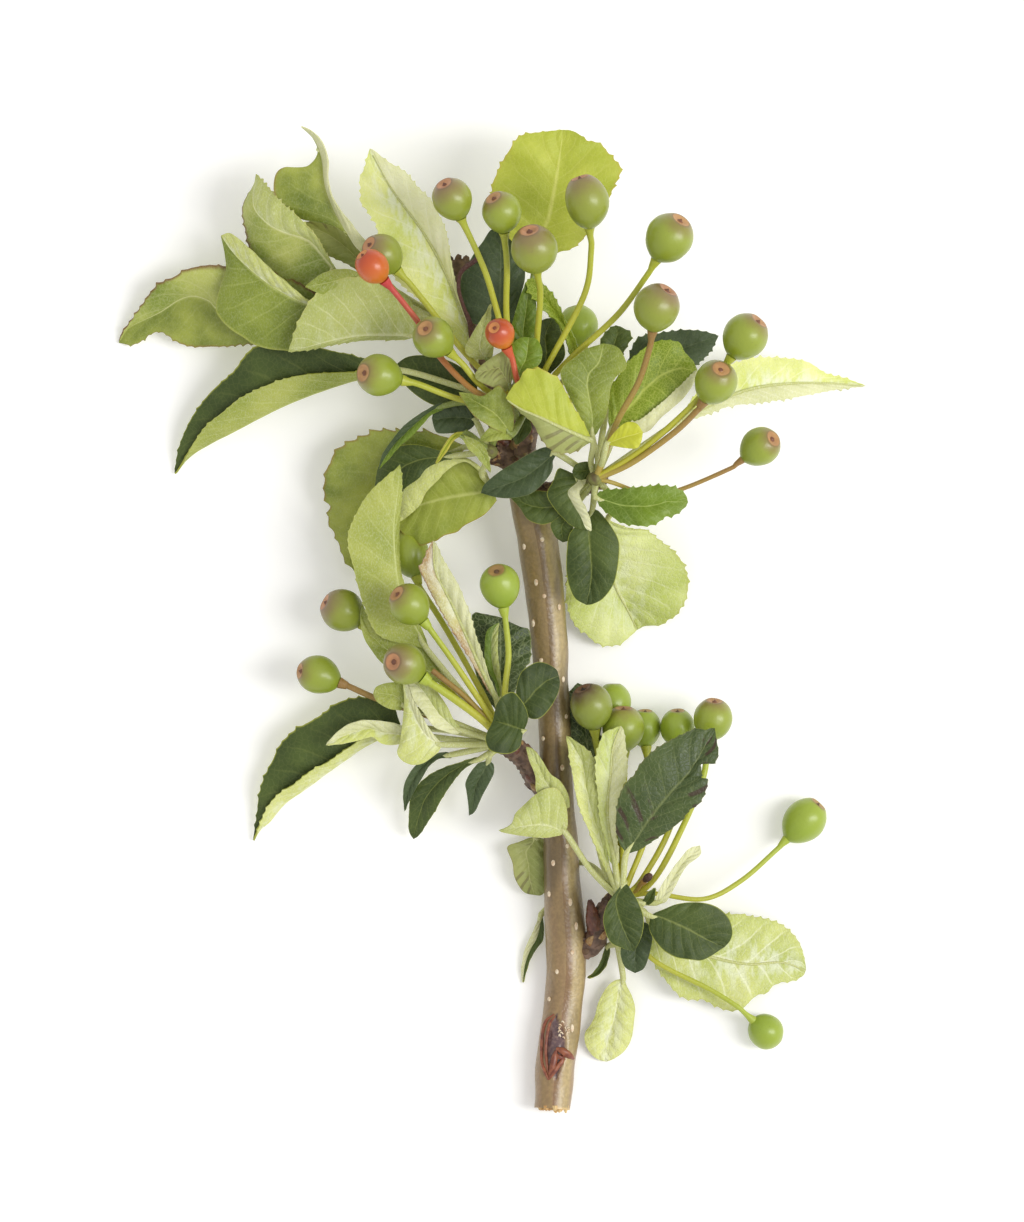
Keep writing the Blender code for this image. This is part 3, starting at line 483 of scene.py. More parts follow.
@dataclass(frozen=True)
class LeafFinish:
    """One side of a leaf: its colours as seen on a screen, and how strongly each mark shows."""

    face: str
    patch: str
    vein: str
    rim: str
    rough: float = 0.45
    veins: float = 0.5
    midrib: float = 0.8
    net: float = 0.15
    rim_start: float = 0.95
    rim_share: float = 0.6
    hair: float = 0.0
    down: float = 0.0
    burn: str = ""
    burn_share: float = 0.0
    net_scale: float = 1000.0
    relief: float = 0.35
    gloss: float = 0.05

    def material(self, name: str) -> Material:
        """Build the finish as a material of a name."""
        material, wiring, shader = new_material(name)
        marks = use_group(wiring, leaf_pattern(), net_scale=self.net_scale).outputs
        spots = use_group(wiring, blotches()).outputs
        colour = wiring.blend(spots["Patch"], self.face, self.patch)
        shares = {"Net": self.net, "Vein": self.veins, "Midrib": self.midrib}
        for mark, share in shares.items():
            colour = wiring.blend(wiring.times(marks[mark], share), colour, self.vein)
        rim = wiring.span(marks["Margin"], self.rim_start, 1.0, 0.0, self.rim_share)
        colour = wiring.blend(rim, colour, self.rim)
        if self.burn:
            flecks = wiring.span(wiring.cloud(wiring.place(), 110.0, 6.0), 0.52, 0.58)
            near_vein = wiring.span(marks["Relief"], 0.15, 0.6, 1.0, 0.0)
            flecks = wiring.times(wiring.times(flecks, near_vein), self.burn_share)
            colour = wiring.blend(flecks, colour, self.burn)
        if self.down:
            tufts = wiring.span(wiring.cloud(wiring.stretched((1.0, 0.35, 1.0)), 700.0, 4.0), 0.4, 0.62)
            near_rib = wiring.span(marks["Margin"], 0.05, 0.85, self.down, 0.0)
            colour = wiring.blend(wiring.times(tufts, near_rib), colour, HAIR_TINT)
        if self.hair:
            share = wiring.times(spots["Hair"], self.hair)
            colour = wiring.blend(share, colour, HAIR_TINT)
        set_surface(wiring, shader, colour, self.rough, self.gloss, 0.5)
        shader.inputs["Specular IOR Level"].default_value = 0.4
        height = wiring.sum("MULTIPLY_ADD", marks["Relief"], 0.7, wiring.times(marks["Net"], -0.3))
        height = wiring.sum("MULTIPLY_ADD", spots["Grain"], 0.25, height)
        raise_relief(wiring, shader, height, self.relief, 0.25)
        return material


@dataclass(frozen=True)
class StalkFinish:
    """A stalk that turns from one colour at its foot to another at its end, tinted on one side."""

    foot: str
    end: str
    flush: str
    flush_share: float = 0.5
    rough: float = 0.45
    hair: float = 0.15

    def material(self, name: str) -> Material:
        """Build the finish as a material of a name."""
        material, wiring, shader = new_material(name)
        spots = use_group(wiring, blotches(), patch_scale=160.0).outputs
        uv = wiring.split("UV")
        colour = wiring.blend(uv["X"], self.foot, self.end)
        around = wiring.span(wiring.sum("PINGPONG", uv["Y"], 0.5), 0.12, 0.4)
        flush = wiring.times(wiring.times(around, self.flush_share),
                           wiring.span(spots["Patch"], 0.0, 0.8, 0.35, 1.0))
        colour = wiring.blend(flush, colour, self.flush)
        hair = wiring.times(spots["Hair"], self.hair)
        colour = wiring.blend(hair, colour, HAIR_TINT)
        set_surface(wiring, shader, colour, self.rough)
        raise_relief(wiring, shader, spots["Grain"], 0.3, 0.1)
        return material


@dataclass(frozen=True)
class FruitFinish:
    """A fruit's skin, its blush round the calyx, and the calyx itself."""

    skin: str
    shade: str
    blush: str
    calyx: str
    core: str
    blush_share: float = 0.8
    blush_start: float = 0.62
    calyx_start: float = 0.872
    rough: float = 0.42

    def material(self, name: str) -> Material:
        """Build the finish as a material of a name."""
        material, wiring, shader = new_material(name)
        spots = use_group(wiring, blotches(), patch_scale=260.0).outputs
        height = wiring.split("UV")["Y"]
        drift = wiring.cloud(wiring.place(), 420.0, 3.0)
        bent = wiring.sum("MULTIPLY_ADD", wiring.sum("SUBTRACT", drift, 0.5), 0.16, height)
        colour = wiring.blend(wiring.span(height, 0.0, 0.8), self.skin, self.shade)
        colour = wiring.blend(wiring.times(spots["Patch"], 0.3), colour, self.shade)
        speck = wiring.node("ShaderNodeTexVoronoi")
        wiring.feed(speck.inputs["Vector"], wiring.place())
        speck.inputs["Scale"].default_value = 900.0
        dots = wiring.span(speck.outputs["Distance"], 0.0, 0.14, 0.45, 0.0)
        colour = wiring.blend(dots, colour, SPECK_TINT)
        blush = wiring.span(bent, self.blush_start, 0.9, 0.0, self.blush_share)
        colour = wiring.blend(blush, colour, self.blush)
        ring = wiring.sum("MULTIPLY_ADD", wiring.sum("SUBTRACT", drift, 0.5), 0.04, height)
        edge = self.calyx_start
        mottled = wiring.blend(wiring.span(drift, 0.4, 0.65), self.calyx, self.core)
        mottled = wiring.blend(0.3, self.calyx, mottled)
        colour = wiring.blend(wiring.span(ring, edge - 0.05, edge - 0.01, 0.0, 0.35), colour, self.core)
        colour = wiring.blend(wiring.span(ring, edge - 0.016, edge + 0.006), colour, mottled)
        colour = wiring.blend(wiring.span(ring, 0.945, 0.965), colour, self.core)
        rough = wiring.span(height, edge - 0.02, edge, self.rough, 0.7)
        set_surface(wiring, shader, colour, rough, 0.35, 0.24)
        raise_relief(wiring, shader, spots["Grain"], 0.25, 0.08)
        return material


@dataclass(frozen=True)
class BarkFinish:
    """Bark with streaks along the stem, a painted light band just right of its top where the light falls, and
    the marks that the mesh carries in its own attribute.
    """

    ground: str
    streak: str
    dark: str
    low: str
    # colour of the painted highlight band on the stem's lit right side, also mixed thinly over the rest of
    # the stem
    olive: str
    scar: str
    cut: str
    rough: float = 0.34

    def material(self, name: str) -> Material:
        """Build the finish as a material of a name."""
        material, wiring, shader = new_material(name)
        long_streaks = wiring.cloud(wiring.stretched((1.0, 0.06, 1.0)), 900.0, 3.0)
        broad = wiring.cloud(wiring.stretched((1.0, 0.3, 1.0)), 160.0, 3.0)
        up = wiring.split()["Y"]
        ground = wiring.blend(wiring.span(up, -0.01, 0.06), self.low, self.ground)
        around = wiring.split("UV")["Y"]
        colour = wiring.blend(wiring.span(long_streaks, 0.35, 0.65, 0.0, 0.7), ground, self.streak)
        # Painted light: the lighter colour fills a band just right of the stem's top, where the soft light
        # falls, as a painted highlight; a weak share of it tints the rest of the stem.
        olive = wiring.times(wiring.span(around, 0.03, 0.075, 0.0, 0.7),
                           wiring.span(around, 0.12, 0.2, 1.0, 0.3))
        colour = wiring.blend(olive, colour, self.olive)
        colour = wiring.blend(wiring.span(broad, 0.45, 0.7, 0.0, 0.7), colour, self.dark)
        spots = use_group(wiring, blotches(), patch_scale=1300.0).outputs
        colour = wiring.blend(wiring.times(spots["Grain"], 0.25), colour, self.dark)
        marks = wiring.node("ShaderNodeAttribute", attribute_name="bark_marks")
        split = wiring.node("ShaderNodeSeparateColor")
        wiring.feed(split.inputs[0], marks.outputs["Color"])
        flecked = wiring.blend(wiring.span(spots["Patch"], 0.3, 1.0, 0.0, 0.7), self.scar, FLECK_TINT)
        colour = wiring.blend(split.outputs[0], colour, flecked)
        colour = wiring.blend(split.outputs[1], colour, self.cut)
        set_surface(wiring, shader, colour, self.rough, 0.35, 0.4)
        height = wiring.sum("MULTIPLY_ADD", long_streaks, 0.8, spots["Grain"])
        raise_relief(wiring, shader, height, 0.3, 0.15)
        return material


@dataclass(frozen=True)
class PlainFinish:
    """Two colours in patches, for scales, lenticels and fibres."""

    face: str
    patch: str
    rough: float = 0.6
    patch_scale: float = 600.0

    def material(self, name: str) -> Material:
        """Build the finish as a material of a name."""
        material, wiring, shader = new_material(name)
        spots = use_group(wiring, blotches(), patch_scale=self.patch_scale).outputs
        colour = wiring.blend(spots["Patch"], self.face, self.patch)
        set_surface(wiring, shader, colour, self.rough)
        return material


class Finish(Enum):
    """Every finish of the branch."""

    DARK = LeafFinish(
        "#33430F", "#4A5A1E", "#868E48", "#A8AC3E", rough=0.56, veins=0.16, midrib=0.6, net=0.1,
        rim_start=0.96, rim_share=0.8, relief=0.5,
    )
    DEEP = LeafFinish(
        "#26350A", "#3A4A14", "#7E8640", "#A0A43A", rough=0.6, veins=0.14, midrib=0.5, net=0.08,
        rim_start=0.96, rim_share=0.8, relief=0.4,
    )
    BLUE_DARK = LeafFinish(
        "#344420", "#465632", "#747E54", "#7E8654", rough=0.5, veins=0.15, midrib=0.4, net=0.1,
        rim_start=0.96, relief=0.5,
    )
    NETTED = LeafFinish(
        "#35451C", "#4A5A2C", "#96A070", "#98A060", rough=0.45, veins=0.3, midrib=0.6, net=0.4, relief=0.9,
    )
    DAMAGED = LeafFinish(
        "#35451A", "#485826", "#868E56", "#6E6A38", rough=0.42, veins=0.2, midrib=0.5, rim_start=0.96,
        burn="#3A2818", burn_share=0.9, relief=0.6,
    )
    MID = LeafFinish(
        "#808C2A", "#9AA23A", "#BEC270", "#A07030", rough=0.5, veins=0.2, midrib=0.6, net=0.12,
        rim_share=0.5,
    )
    RIMMED = LeafFinish(
        "#76862A", "#B2B85C", "#D6D69A", "#6E4420", rough=0.5, veins=0.2, rim_start=0.86, rim_share=0.9,
        hair=0.08,
    )
    BRIGHT = LeafFinish("#9FAA2C", "#B8BE44", "#CCCE6A", "#B8A244", rough=0.48, veins=0.25, rim_share=0.5)
    LIME = LeafFinish(
        "#748818", "#889C24", "#BEC85C", "#788C18", rough=0.42, veins=0.4, net=0.5, net_scale=1700.0,
    )
    YELLOW = LeafFinish("#B4B82A", "#C8C83E", "#D8D870", "#A8A834", rough=0.5, veins=0.15, net=0.05)
    UNDER_VEINED = LeafFinish(
        "#AEB85C", "#C8CC7A", "#ECECC8", "#B2B460", rough=0.6, veins=0.55, down=0.5, net=0.12, hair=0.2,
        gloss=0.0, relief=0.7,
    )
    GREEN = LeafFinish("#566E0C", "#6E861A", "#A0B058", "#96A63A", rough=0.45, veins=0.22, net=0.16)
    OLIVE = LeafFinish(
        "#848E48", "#9EA25E", "#B8BA7C", "#8A7A48", rough=0.5, veins=0.3, net=0.12, rim_start=0.92,
        burn="#4A3020", burn_share=0.5,
    )
    SMOOTH = LeafFinish("#6C7A1C", "#8A9636", "#B0B866", "#A8AC50", rough=0.55, veins=0.3, hair=0.08)
    GREY = LeafFinish("#849030", "#A8AE52", "#C0C67C", "#B0B45C", rough=0.6, veins=0.3, net=0.2, hair=0.14)
    UNDER = LeafFinish(
        "#BCC268", "#D2D684", "#E8E8BA", "#BCC06E", rough=0.65, veins=0.35, down=0.45, rim_start=0.92,
        rim_share=0.5, hair=0.2, gloss=0.0, relief=0.7,
    )
    UNDER_GREEN = LeafFinish(
        "#A3AC58", "#B4BA68", "#D6D89E", "#BCB868", rough=0.62, veins=0.45, down=0.12, hair=0.18, gloss=0.0,
        relief=0.6,
    )
    UNDER_WHITE = LeafFinish(
        "#C8CA90", "#DCDCAA", "#ECEACA", "#C4C48C", rough=0.7, veins=0.35, net=0.2, rim_start=0.96, hair=0.3,
        gloss=0.0, relief=0.6,
    )
    UNDER_LIGHT = LeafFinish(
        "#B0BC5A", "#D2D88E", "#E8E8C4", "#B2B65A", rough=0.65, veins=0.3, down=0.3, hair=0.15, gloss=0.0,
        relief=0.6,
    )
    LEMON = LeafFinish(
        "#C0CA58", "#E2E496", "#F2F2C8", "#E0E09A", rough=0.6, veins=0.3, down=0.6, net=0.1, rim_start=0.94,
        hair=0.15, gloss=0.0, relief=0.6,
    )
    PALE = LeafFinish(
        "#DEE09E", "#F2F2C8", "#F8F8DC", "#CCD078", rough=0.7, veins=0.3, net=0.1, rim_start=0.96, hair=0.2,
        gloss=0.0, relief=0.6,
    )
    ROSY = LeafFinish(
        "#A88458", "#C8C27E", "#EAE6C4", "#7E4430", rough=0.65, veins=0.3, down=0.6, net=0.2, rim_start=0.86,
        rim_share=0.8, hair=0.35, gloss=0.0, relief=0.6,
    )
    LEAF_GREEN = LeafFinish(
        "#5C6C14", "#A2AA46", "#B8BE6C", "#8A6A30", rough=0.5, veins=0.15, midrib=0.6, net=0.12,
        rim_start=0.94, rim_share=0.7, hair=0.06,
    )
    PEDICEL = StalkFinish("#B4AE2C", "#A4AA30", "#8E5C2A", 0.5, hair=0.05)
    PEDICEL_GREEN = StalkFinish("#B8AE2C", "#9CAC34", "#A0843A", 0.3, hair=0.05)
    PEDICEL_BROWN = StalkFinish("#A4923A", "#8E6A34", "#6E402A", 0.7, hair=0.05)
    PEDICEL_RED = StalkFinish("#94862A", "#BC343A", "#902C34", 0.4, hair=0.03)
    PEDICEL_ORANGE = StalkFinish("#A6502C", "#C4522C", "#94301E", 0.4, hair=0.03)
    PETIOLE = StalkFinish("#B0B46A", "#BCBE7C", "#A59A58", 0.3, 0.55, 0.3)
    PETIOLE_DARK = StalkFinish("#808C38", "#7A8838", "#7A6A3C", 0.35)
    DRY = StalkFinish("#5A3226", "#4A2A22", "#34201C", 0.7, 0.7, 0.05)
    FRUIT = FruitFinish("#7F9022", "#8E9A2E", "#80683C", "#B88A54", "#74482E")
    FRUIT_CLEAN = FruitFinish(
        "#849A24", "#92A430", "#9A984C", "#B08C50", "#5F4426", blush_share=0.4, blush_start=0.78,
    )
    FRUIT_BLUSHED = FruitFinish(
        "#7E8C24", "#8C9430", "#80604C", "#BC865A", "#6A402C", blush_share=0.8, blush_start=0.5,
    )
    FRUIT_BROWN = FruitFinish(
        "#78882A", "#848C30", "#54382A", "#7C543A", "#33201A", blush_share=1.0, blush_start=0.55,
    )
    FRUITLET = FruitFinish(
        "#CC7A22", "#BC4C1A", "#9E3A22", "#D28A4A", "#7A3A22", blush_share=0.6, blush_start=0.6, rough=0.36,
    )
    # The fifth colour is the painted light band on the stem's lit right side.
    BARK = BarkFinish("#70582E", "#866A3E", "#4C3C22", "#8A6648", "#C0AC78", "#5E4648", "#CDAE72")
    SCAR = PlainFinish("#6E3626", "#96583A", 0.4, 900.0)
    OLD_WOOD = PlainFinish("#4E3A2E", "#7E6452", 0.6, 700.0)
    SCALE = PlainFinish("#43301F", "#6E543C", 0.55)
    BUD = PlainFinish("#4A2A20", "#704534", 0.3)
    LENTICEL = PlainFinish("#E6DAC0", "#C6A684", 0.7, 1500.0)
    FIBRE = PlainFinish("#B98A50", "#D8BE88", 0.8)
    SPUR = PlainFinish("#7E8040", "#584A2E", 0.6)
    TAN = PlainFinish("#8A6034", "#B09468", 0.6, 1500.0)

    def material(self) -> Material:
        """Material of this finish, built the first time it is asked for."""
        name = f"{self.name.lower()}_finish"
        return bpy.data.materials.get(name) or self.value.material(name)


# ---------------------------------------------------------------- stalks, fruit and leaves


@dataclass(frozen=True)
class Stalk:
    """A round stem or stalk along places, each (x, y, z, radius)."""

    route: Route
    finish: Finish
    sides: int = 10
    pitch: float = 0.9
    knobs: float = 0.0
    ring_pitch: float = 0.0
    ring_height: float = 0.0

    def swell(self, centre: Vector, angle: float, travelled: float) -> float:
        """How much wider or narrower the stalk is at a place on it.

        Args:
            centre: middle of the stalk there.
            angle: place round it, in radians.
            travelled: distance from its foot.

        Returns:
            A share of its radius.
        """
        share = 1.0
        if self.knobs:
            spot = Vector((math.cos(angle) * 0.9, math.sin(angle) * 0.9, travelled * 0.16)) + centre * 0.01
            share += self.knobs * noise.noise(spot)
        if self.ring_pitch:
            jitter = 0.25 * noise.noise(Vector((angle * 0.8, travelled * 0.3, 3.0)))
            phase = (travelled / self.ring_pitch + jitter) % 1.0
            share += self.ring_height * max(0.0, 1.0 - phase * 2.2)
        return share

    def build(self) -> Item:
        """Wrap a grid round the route and close it.

        Returns:
            The stalk, with u of its UV map along it.
        """
        stops = [Vector(place) for place in self.route]
        length = sum((end.xyz - start.xyz).length for start, end in zip(stops, stops[1:]))
        steps = max(int(length / self.pitch), 3)
        spaced = spline_points(stops, steps + 1)
        sideways = UP.copy()
        rings = []
        for index, place in enumerate(spaced):
            ahead = (spaced[min(index + 1, steps)].xyz - spaced[max(index - 1, 0)].xyz).normalized()
            sideways = sideways - ahead * sideways.dot(ahead)
            if sideways.length < 0.05:
                sideways = Vector((1, 0, 0)) - ahead * ahead.x
            sideways.normalize()
            rings.append((place, sideways.copy(), ahead.cross(sideways)))
        item = add_grid(steps + 2, self.sides)
        for vert in item.data.vertices:
            row = round((vert.co.x + 1) / 2 * (steps + 2))
            angle = math.tau * round((vert.co.y + 1) / 2 * self.sides) / self.sides
            ring = min(max(row - 1, 0), steps)
            place, first, second = rings[ring]
            travelled = length * ring / steps
            reach = place.w * self.swell(place.xyz, angle, travelled) if 0 < row < steps + 2 else 0.0
            vert.co = (place.xyz + (first * math.cos(angle) + second * math.sin(angle)) * reach) * MM
        close_surface(recalculate=True)
        item.data.materials.append(self.finish.material())
        return item


CALYX_RIM = 0.42
CALYX_LIP = 0.16
CALYX_BUTTON = 0.08
CALYX_WIDTH = 0.94
NECK_START = 1.9
SKIN_UNEVEN = 0.025


@dataclass(frozen=True)
class Fruit:
    """A fruit on the end of its pedicel, which passes places on its way."""

    centre: Place
    radius: float
    length: float
    via: str
    finish: Finish = Finish.FRUIT
    stalk: Finish = Finish.PEDICEL
    thickness: float = 0.62
    calyx: tuple[float, float] | None = None
    hanging: bool = False

    def calyx_axis(self) -> Vector:
        """Direction of the calyx: by where it is seen from above, or on from the pedicel. A hanging
        fruit turns its calyx to the surface."""
        if self.calyx is None:
            return (Vector(self.centre) - vectors(self.via)[-1]).normalized()
        x, y = self.calyx
        rise = math.sqrt(max(self.radius ** 2 - x ** 2 - y ** 2, 0.04 * self.radius ** 2))
        return Vector((x, y, -rise if self.hanging else rise)).normalized()

    def skin_point(self, point: Vector) -> Vector:
        """Shape a point of a ball of radius 1: a raised ring and a hollow at the calyx on its top.

        Args:
            point: the point on the ball.

        Returns:
            The point on the fruit.
        """
        polar = math.acos(max(min(point.z, 1.0), -1.0))
        shaped = point.copy()
        if polar < CALYX_RIM:
            hollow = 1 - (polar / CALYX_RIM) ** 2
            button = 0.16 if polar < CALYX_BUTTON else 0.0
            shaped.z = math.cos(CALYX_RIM) + 0.035 - 0.13 * hollow + button
            shaped.x *= CALYX_WIDTH
            shaped.y *= CALYX_WIDTH
        elif polar < CALYX_RIM + CALYX_LIP:
            shaped.z += 0.012
        if polar > NECK_START:
            shaped.z -= 0.16 * ((polar - NECK_START) / 1.24) ** 2
        uneven = 1 + SKIN_UNEVEN * noise.noise(point * 1.6 + Vector(self.centre))
        return shaped * uneven

    def build(self, foot: Vector) -> list[Item]:
        """Make the fruit and its pedicel.

        Args:
            foot: where the pedicel starts.

        Returns:
            The pedicel and the fruit.
        """
        centre = Vector(self.centre)
        via = vectors(self.via)
        axis = (centre - via[-1]).normalized()
        bend = axis.rotation_difference(self.calyx_axis())
        neck = centre - axis * self.length * 1.08
        stops = [foot, *via, neck - axis * 2.0, neck]
        radii = [self.thickness * 1.15] + [self.thickness] * (len(stops) - 3)
        radii += [self.thickness * 1.1, self.thickness * 1.9]
        stalk = Stalk(with_radii(stops, radii), self.stalk, pitch=0.8, knobs=0.12).build()
        ball = add(bpy.ops.mesh.primitive_uv_sphere_add, segments=28, ring_count=22, radius=1.0)
        turn = axis.to_track_quat("Z", "Y")
        for vert in ball.data.vertices:
            shaped = self.skin_point(vert.co)
            share = min(max((vert.co.z + 0.95) / 1.75, 0.0), 1.0)
            part = Quaternion().slerp(bend, share * share * (3 - 2 * share))
            sized = Vector((shaped.x * self.radius, shaped.y * self.radius, shaped.z * self.length))
            vert.co = (centre + part @ turn @ sized) * MM
        ball.data.materials.append(self.finish.material())
        return [stalk, ball]


TOOTH_SHAPE = (0.0, 0.22, 0.55, 1.0, 0.12)
TOOTH_PITCH = 1.6
HALF_COLUMNS = 6
TURN_COLUMNS = 3
TURN_BOW = 0.4
BLADE_THICKNESS = 0.34
LOWEST_MARGIN = 0.5
RIB_RADII = {0.0: 0.5, 0.2: 0.42, 0.4: 0.34, 0.6: 0.27, 0.8: 0.2, 0.97: 0.12}


@dataclass(frozen=True)
class Blade:
    """A leaf drawn from above by its two margins, from its base to its tip, with heights of its own.

    left and right are as seen from the base towards the tip. upper is the side that looks up where
    nothing is folded, and left_face or right_face takes its place on one half. A turned margin is
    folded back over the leaf and shows its other side. A rise says how far a margin stands over the
    midrib at its base, middle and tip, or in the middle alone. tooth is how far the teeth stand out,
    ribbed the finish of a raised midrib, and start and via are places of the petiole.
    """

    name: str
    heights: Heights
    left: Outline
    right: Outline
    upper: Finish
    under: Finish = Finish.UNDER
    rib: Outline = ""
    left_rise: Rise = 0.5
    right_rise: Rise = 0.5
    left_turn: Outline = ""
    right_turn: Outline = ""
    turn_rise: float = 1.0
    left_face: Finish | None = None
    right_face: Finish | None = None
    tooth: float = 0.0
    bulge: float = 0.6
    quilt: float = 0.17
    veins: float = 7.0
    ripple: float = 0.3
    ribbed: Finish | None = None
    petiole: Finish | None = Finish.PETIOLE
    via: str = ""
    start: Place | None = None
    stem_radius: float = 0.6

    def steps(self) -> int:
        """Number of rows along the blade: whole teeth, each with the rows of TOOTH_SHAPE."""
        points = flat_places(self.left)
        length = sum((end - start).length for start, end in zip(points, points[1:]))
        return max(int(length / TOOTH_PITCH), 4) * len(TOOTH_SHAPE)

    def midrib(self, count: int) -> list[Vector]:
        """Points of the midrib, from the base to the tip."""
        if self.rib:
            flat = spline_points(flat_places(self.rib), count)
        else:
            sides = [spline_points(flat_places(side), count) for side in (self.left, self.right)]
            flat = [first.lerp(second, 0.5) for first, second in zip(*sides)]
        return [Vector((point.x, point.y, bowed(self.heights, index / (count - 1))))
                for index, point in enumerate(flat)]

    def edge(self, outline: Outline, rise: Rise, extra: float, rib: list[Vector]) -> list[Vector]:
        """Points of a margin, at its rise over the midrib.

        Args:
            outline: the margin seen from above.
            rise: how far it stands over the midrib.
            extra: how much higher still it lies in the middle.
            rib: the midrib's points.

        Returns:
            As many points as the midrib has.
        """
        count = len(rib)
        flat = spline_points(flat_places(outline), count)
        heights = rise if isinstance(rise, tuple) else (0.0, rise, 0.0)
        edge = []
        for index, point in enumerate(flat):
            t = index / (count - 1)
            height = rib[index].z + bowed(heights, t) + extra * math.sin(math.pi * t)
            edge.append(Vector((point.x, point.y, max(height, LOWEST_MARGIN))))
        return edge

    def tooth_reach(self, row: int, count: int, seed: float) -> float:
        """How far the margin stands out at a row, as its teeth go."""
        size = 0.62 + 1.2 * noise.noise(Vector((row // len(TOOTH_SHAPE) * 1.7, seed, 0.3)))
        fade = min(1.0, row / (count * 0.12), (count - row) / (count * 0.05))
        return self.tooth * TOOTH_SHAPE[row % len(TOOTH_SHAPE)] * size * fade

    def half(self, outline: Outline, rise: Rise, turn: Outline, rib: list[Vector],
             seed: float) -> list[list[Vector]]:
        """Points of one half of the blade, row by row, from the midrib to the margin.

        Args:
            outline: the margin, or the fold where it is turned.
            rise: how far that stands over the midrib.
            turn: the turned margin, where there is one.
            rib: the midrib's points.
            seed: number that makes this half's teeth and ripples its own.

        Returns:
            One list of points for each point of the midrib.
        """
        count = len(rib)
        edge = self.edge(outline, rise, 0.0, rib)
        turned = self.edge(turn, rise, self.turn_rise, rib) if turn else []
        rows = []
        for index in range(count):
            t = index / (count - 1)
            pinch = min(1.0, 0.25 + t / 0.05)
            margin = rib[index].lerp(edge[index], pinch)
            outward = margin - rib[index]
            width = outward.length
            outward = outward.normalized() if width > 0.01 else Vector((0, 0, 0))
            row = []
            for column in range(HALF_COLUMNS + 1):
                s = column / HALF_COLUMNS
                point = rib[index].lerp(margin, s)
                arch = math.sin(math.pi * s) * min(1.0, width / 4)
                phase = t * self.veins - s ** 0.8 * 1.6
                point.z += self.bulge * arch * math.sin(math.pi * t)
                point.z += self.quilt * math.cos(math.tau * phase) * arch
                wave = math.sin(math.tau * (t * 2.6 + seed))
                wave += 0.6 * math.sin(math.tau * (t * 5.3 + seed * 2))
                point.z += self.ripple * wave * s ** 2 * min(1.0, width / 4) * math.sin(math.pi * t)
                if not turned:
                    point += outward * self.tooth_reach(index, count, seed) * s ** 4
                row.append(point)
            if turned:
                back = rib[index].lerp(turned[index], pinch) - margin
                reach = back.normalized() if back.length > 0.01 else Vector((0, 0, 0))
                for column in range(1, TURN_COLUMNS + 1):
                    s = column / TURN_COLUMNS
                    point = margin + back * s
                    point.z += TURN_BOW * math.sin(math.pi * s)
                    point += reach * self.tooth_reach(index, count, seed) * s ** 3
                    row.append(point)
            for point in row:
                point.z = max(point.z, BLADE_THICKNESS + 0.05)
            rows.append(row)
        return rows

    def build(self) -> list[Item]:
        """Make the blade, with its raised midrib where it has one.

        Returns:
            The blade, and its midrib.
        """
        rows = self.steps()
        rib = self.midrib(rows + 1)
        seed = sum(map(ord, self.name)) * 0.137
        left = self.half(self.left, self.left_rise, self.left_turn, rib, seed)
        right = self.half(self.right, self.right_rise, self.right_turn, rib, seed + 0.5)
        rights, lefts = len(right[0]) - 1, len(left[0]) - 1
        columns = rights + lefts
        item = add_grid(rows, columns)
        grid = [(round((vert.co.x + 1) / 2 * rows), round((vert.co.y + 1) / 2 * columns))
                for vert in item.data.vertices]
        layer = item.data.uv_layers.active.data
        for loop in item.data.loops:
            row, column = grid[loop.vertex_index]
            side = (column - rights) / (lefts if column > rights else rights)
            layer[loop.index].uv = (row / rows, 0.5 + side / 2)
        for face in item.data.polygons:
            middle = sum(grid[corner][1] for corner in face.vertices) / len(face.vertices)
            face.material_index = 2 if middle > rights else 0
        for vert, (row, column) in zip(item.data.vertices, grid):
            point = left[row][column - rights] if column > rights else right[row][rights - column]
            vert.co = point * MM
        for face in (self.right_face or self.upper, self.under, self.left_face or self.upper, self.under):
            item.data.materials.append(face.material())
        close_surface(recalculate=False)
        give_wall(item, BLADE_THICKNESS, material_offset=1)
        return [item, self.raised_rib(rib)] if self.ribbed else [item]

    def raised_rib(self, rib: list[Vector]) -> Item:
        """The midrib that stands out on an underside."""
        last = len(rib) - 1
        stops = [rib[round(last * share)] + UP * 0.12 for share in RIB_RADII]
        return Stalk(with_radii(stops, list(RIB_RADII.values())), self.ribbed, sides=8, pitch=1.2).build()

    def stalk(self, foot: Vector) -> list[Item]:
        """The petiole, from its foot to the blade's base and a little way under it."""
        if not self.petiole:
            return []
        rib = self.midrib(41)
        stops = [Vector(self.start) if self.start else foot, *vectors(self.via)]
        stops += [rib[0] - UP * 0.1, rib[5] - UP * 0.35]
        radii = [self.stem_radius * 1.1] + [self.stem_radius] * (len(stops) - 2) + [0.25]
        return [Stalk(with_radii(stops, radii), self.petiole, sides=8, pitch=1.0).build()]


# ---------------------------------------------------------------- leaves, spray by spray

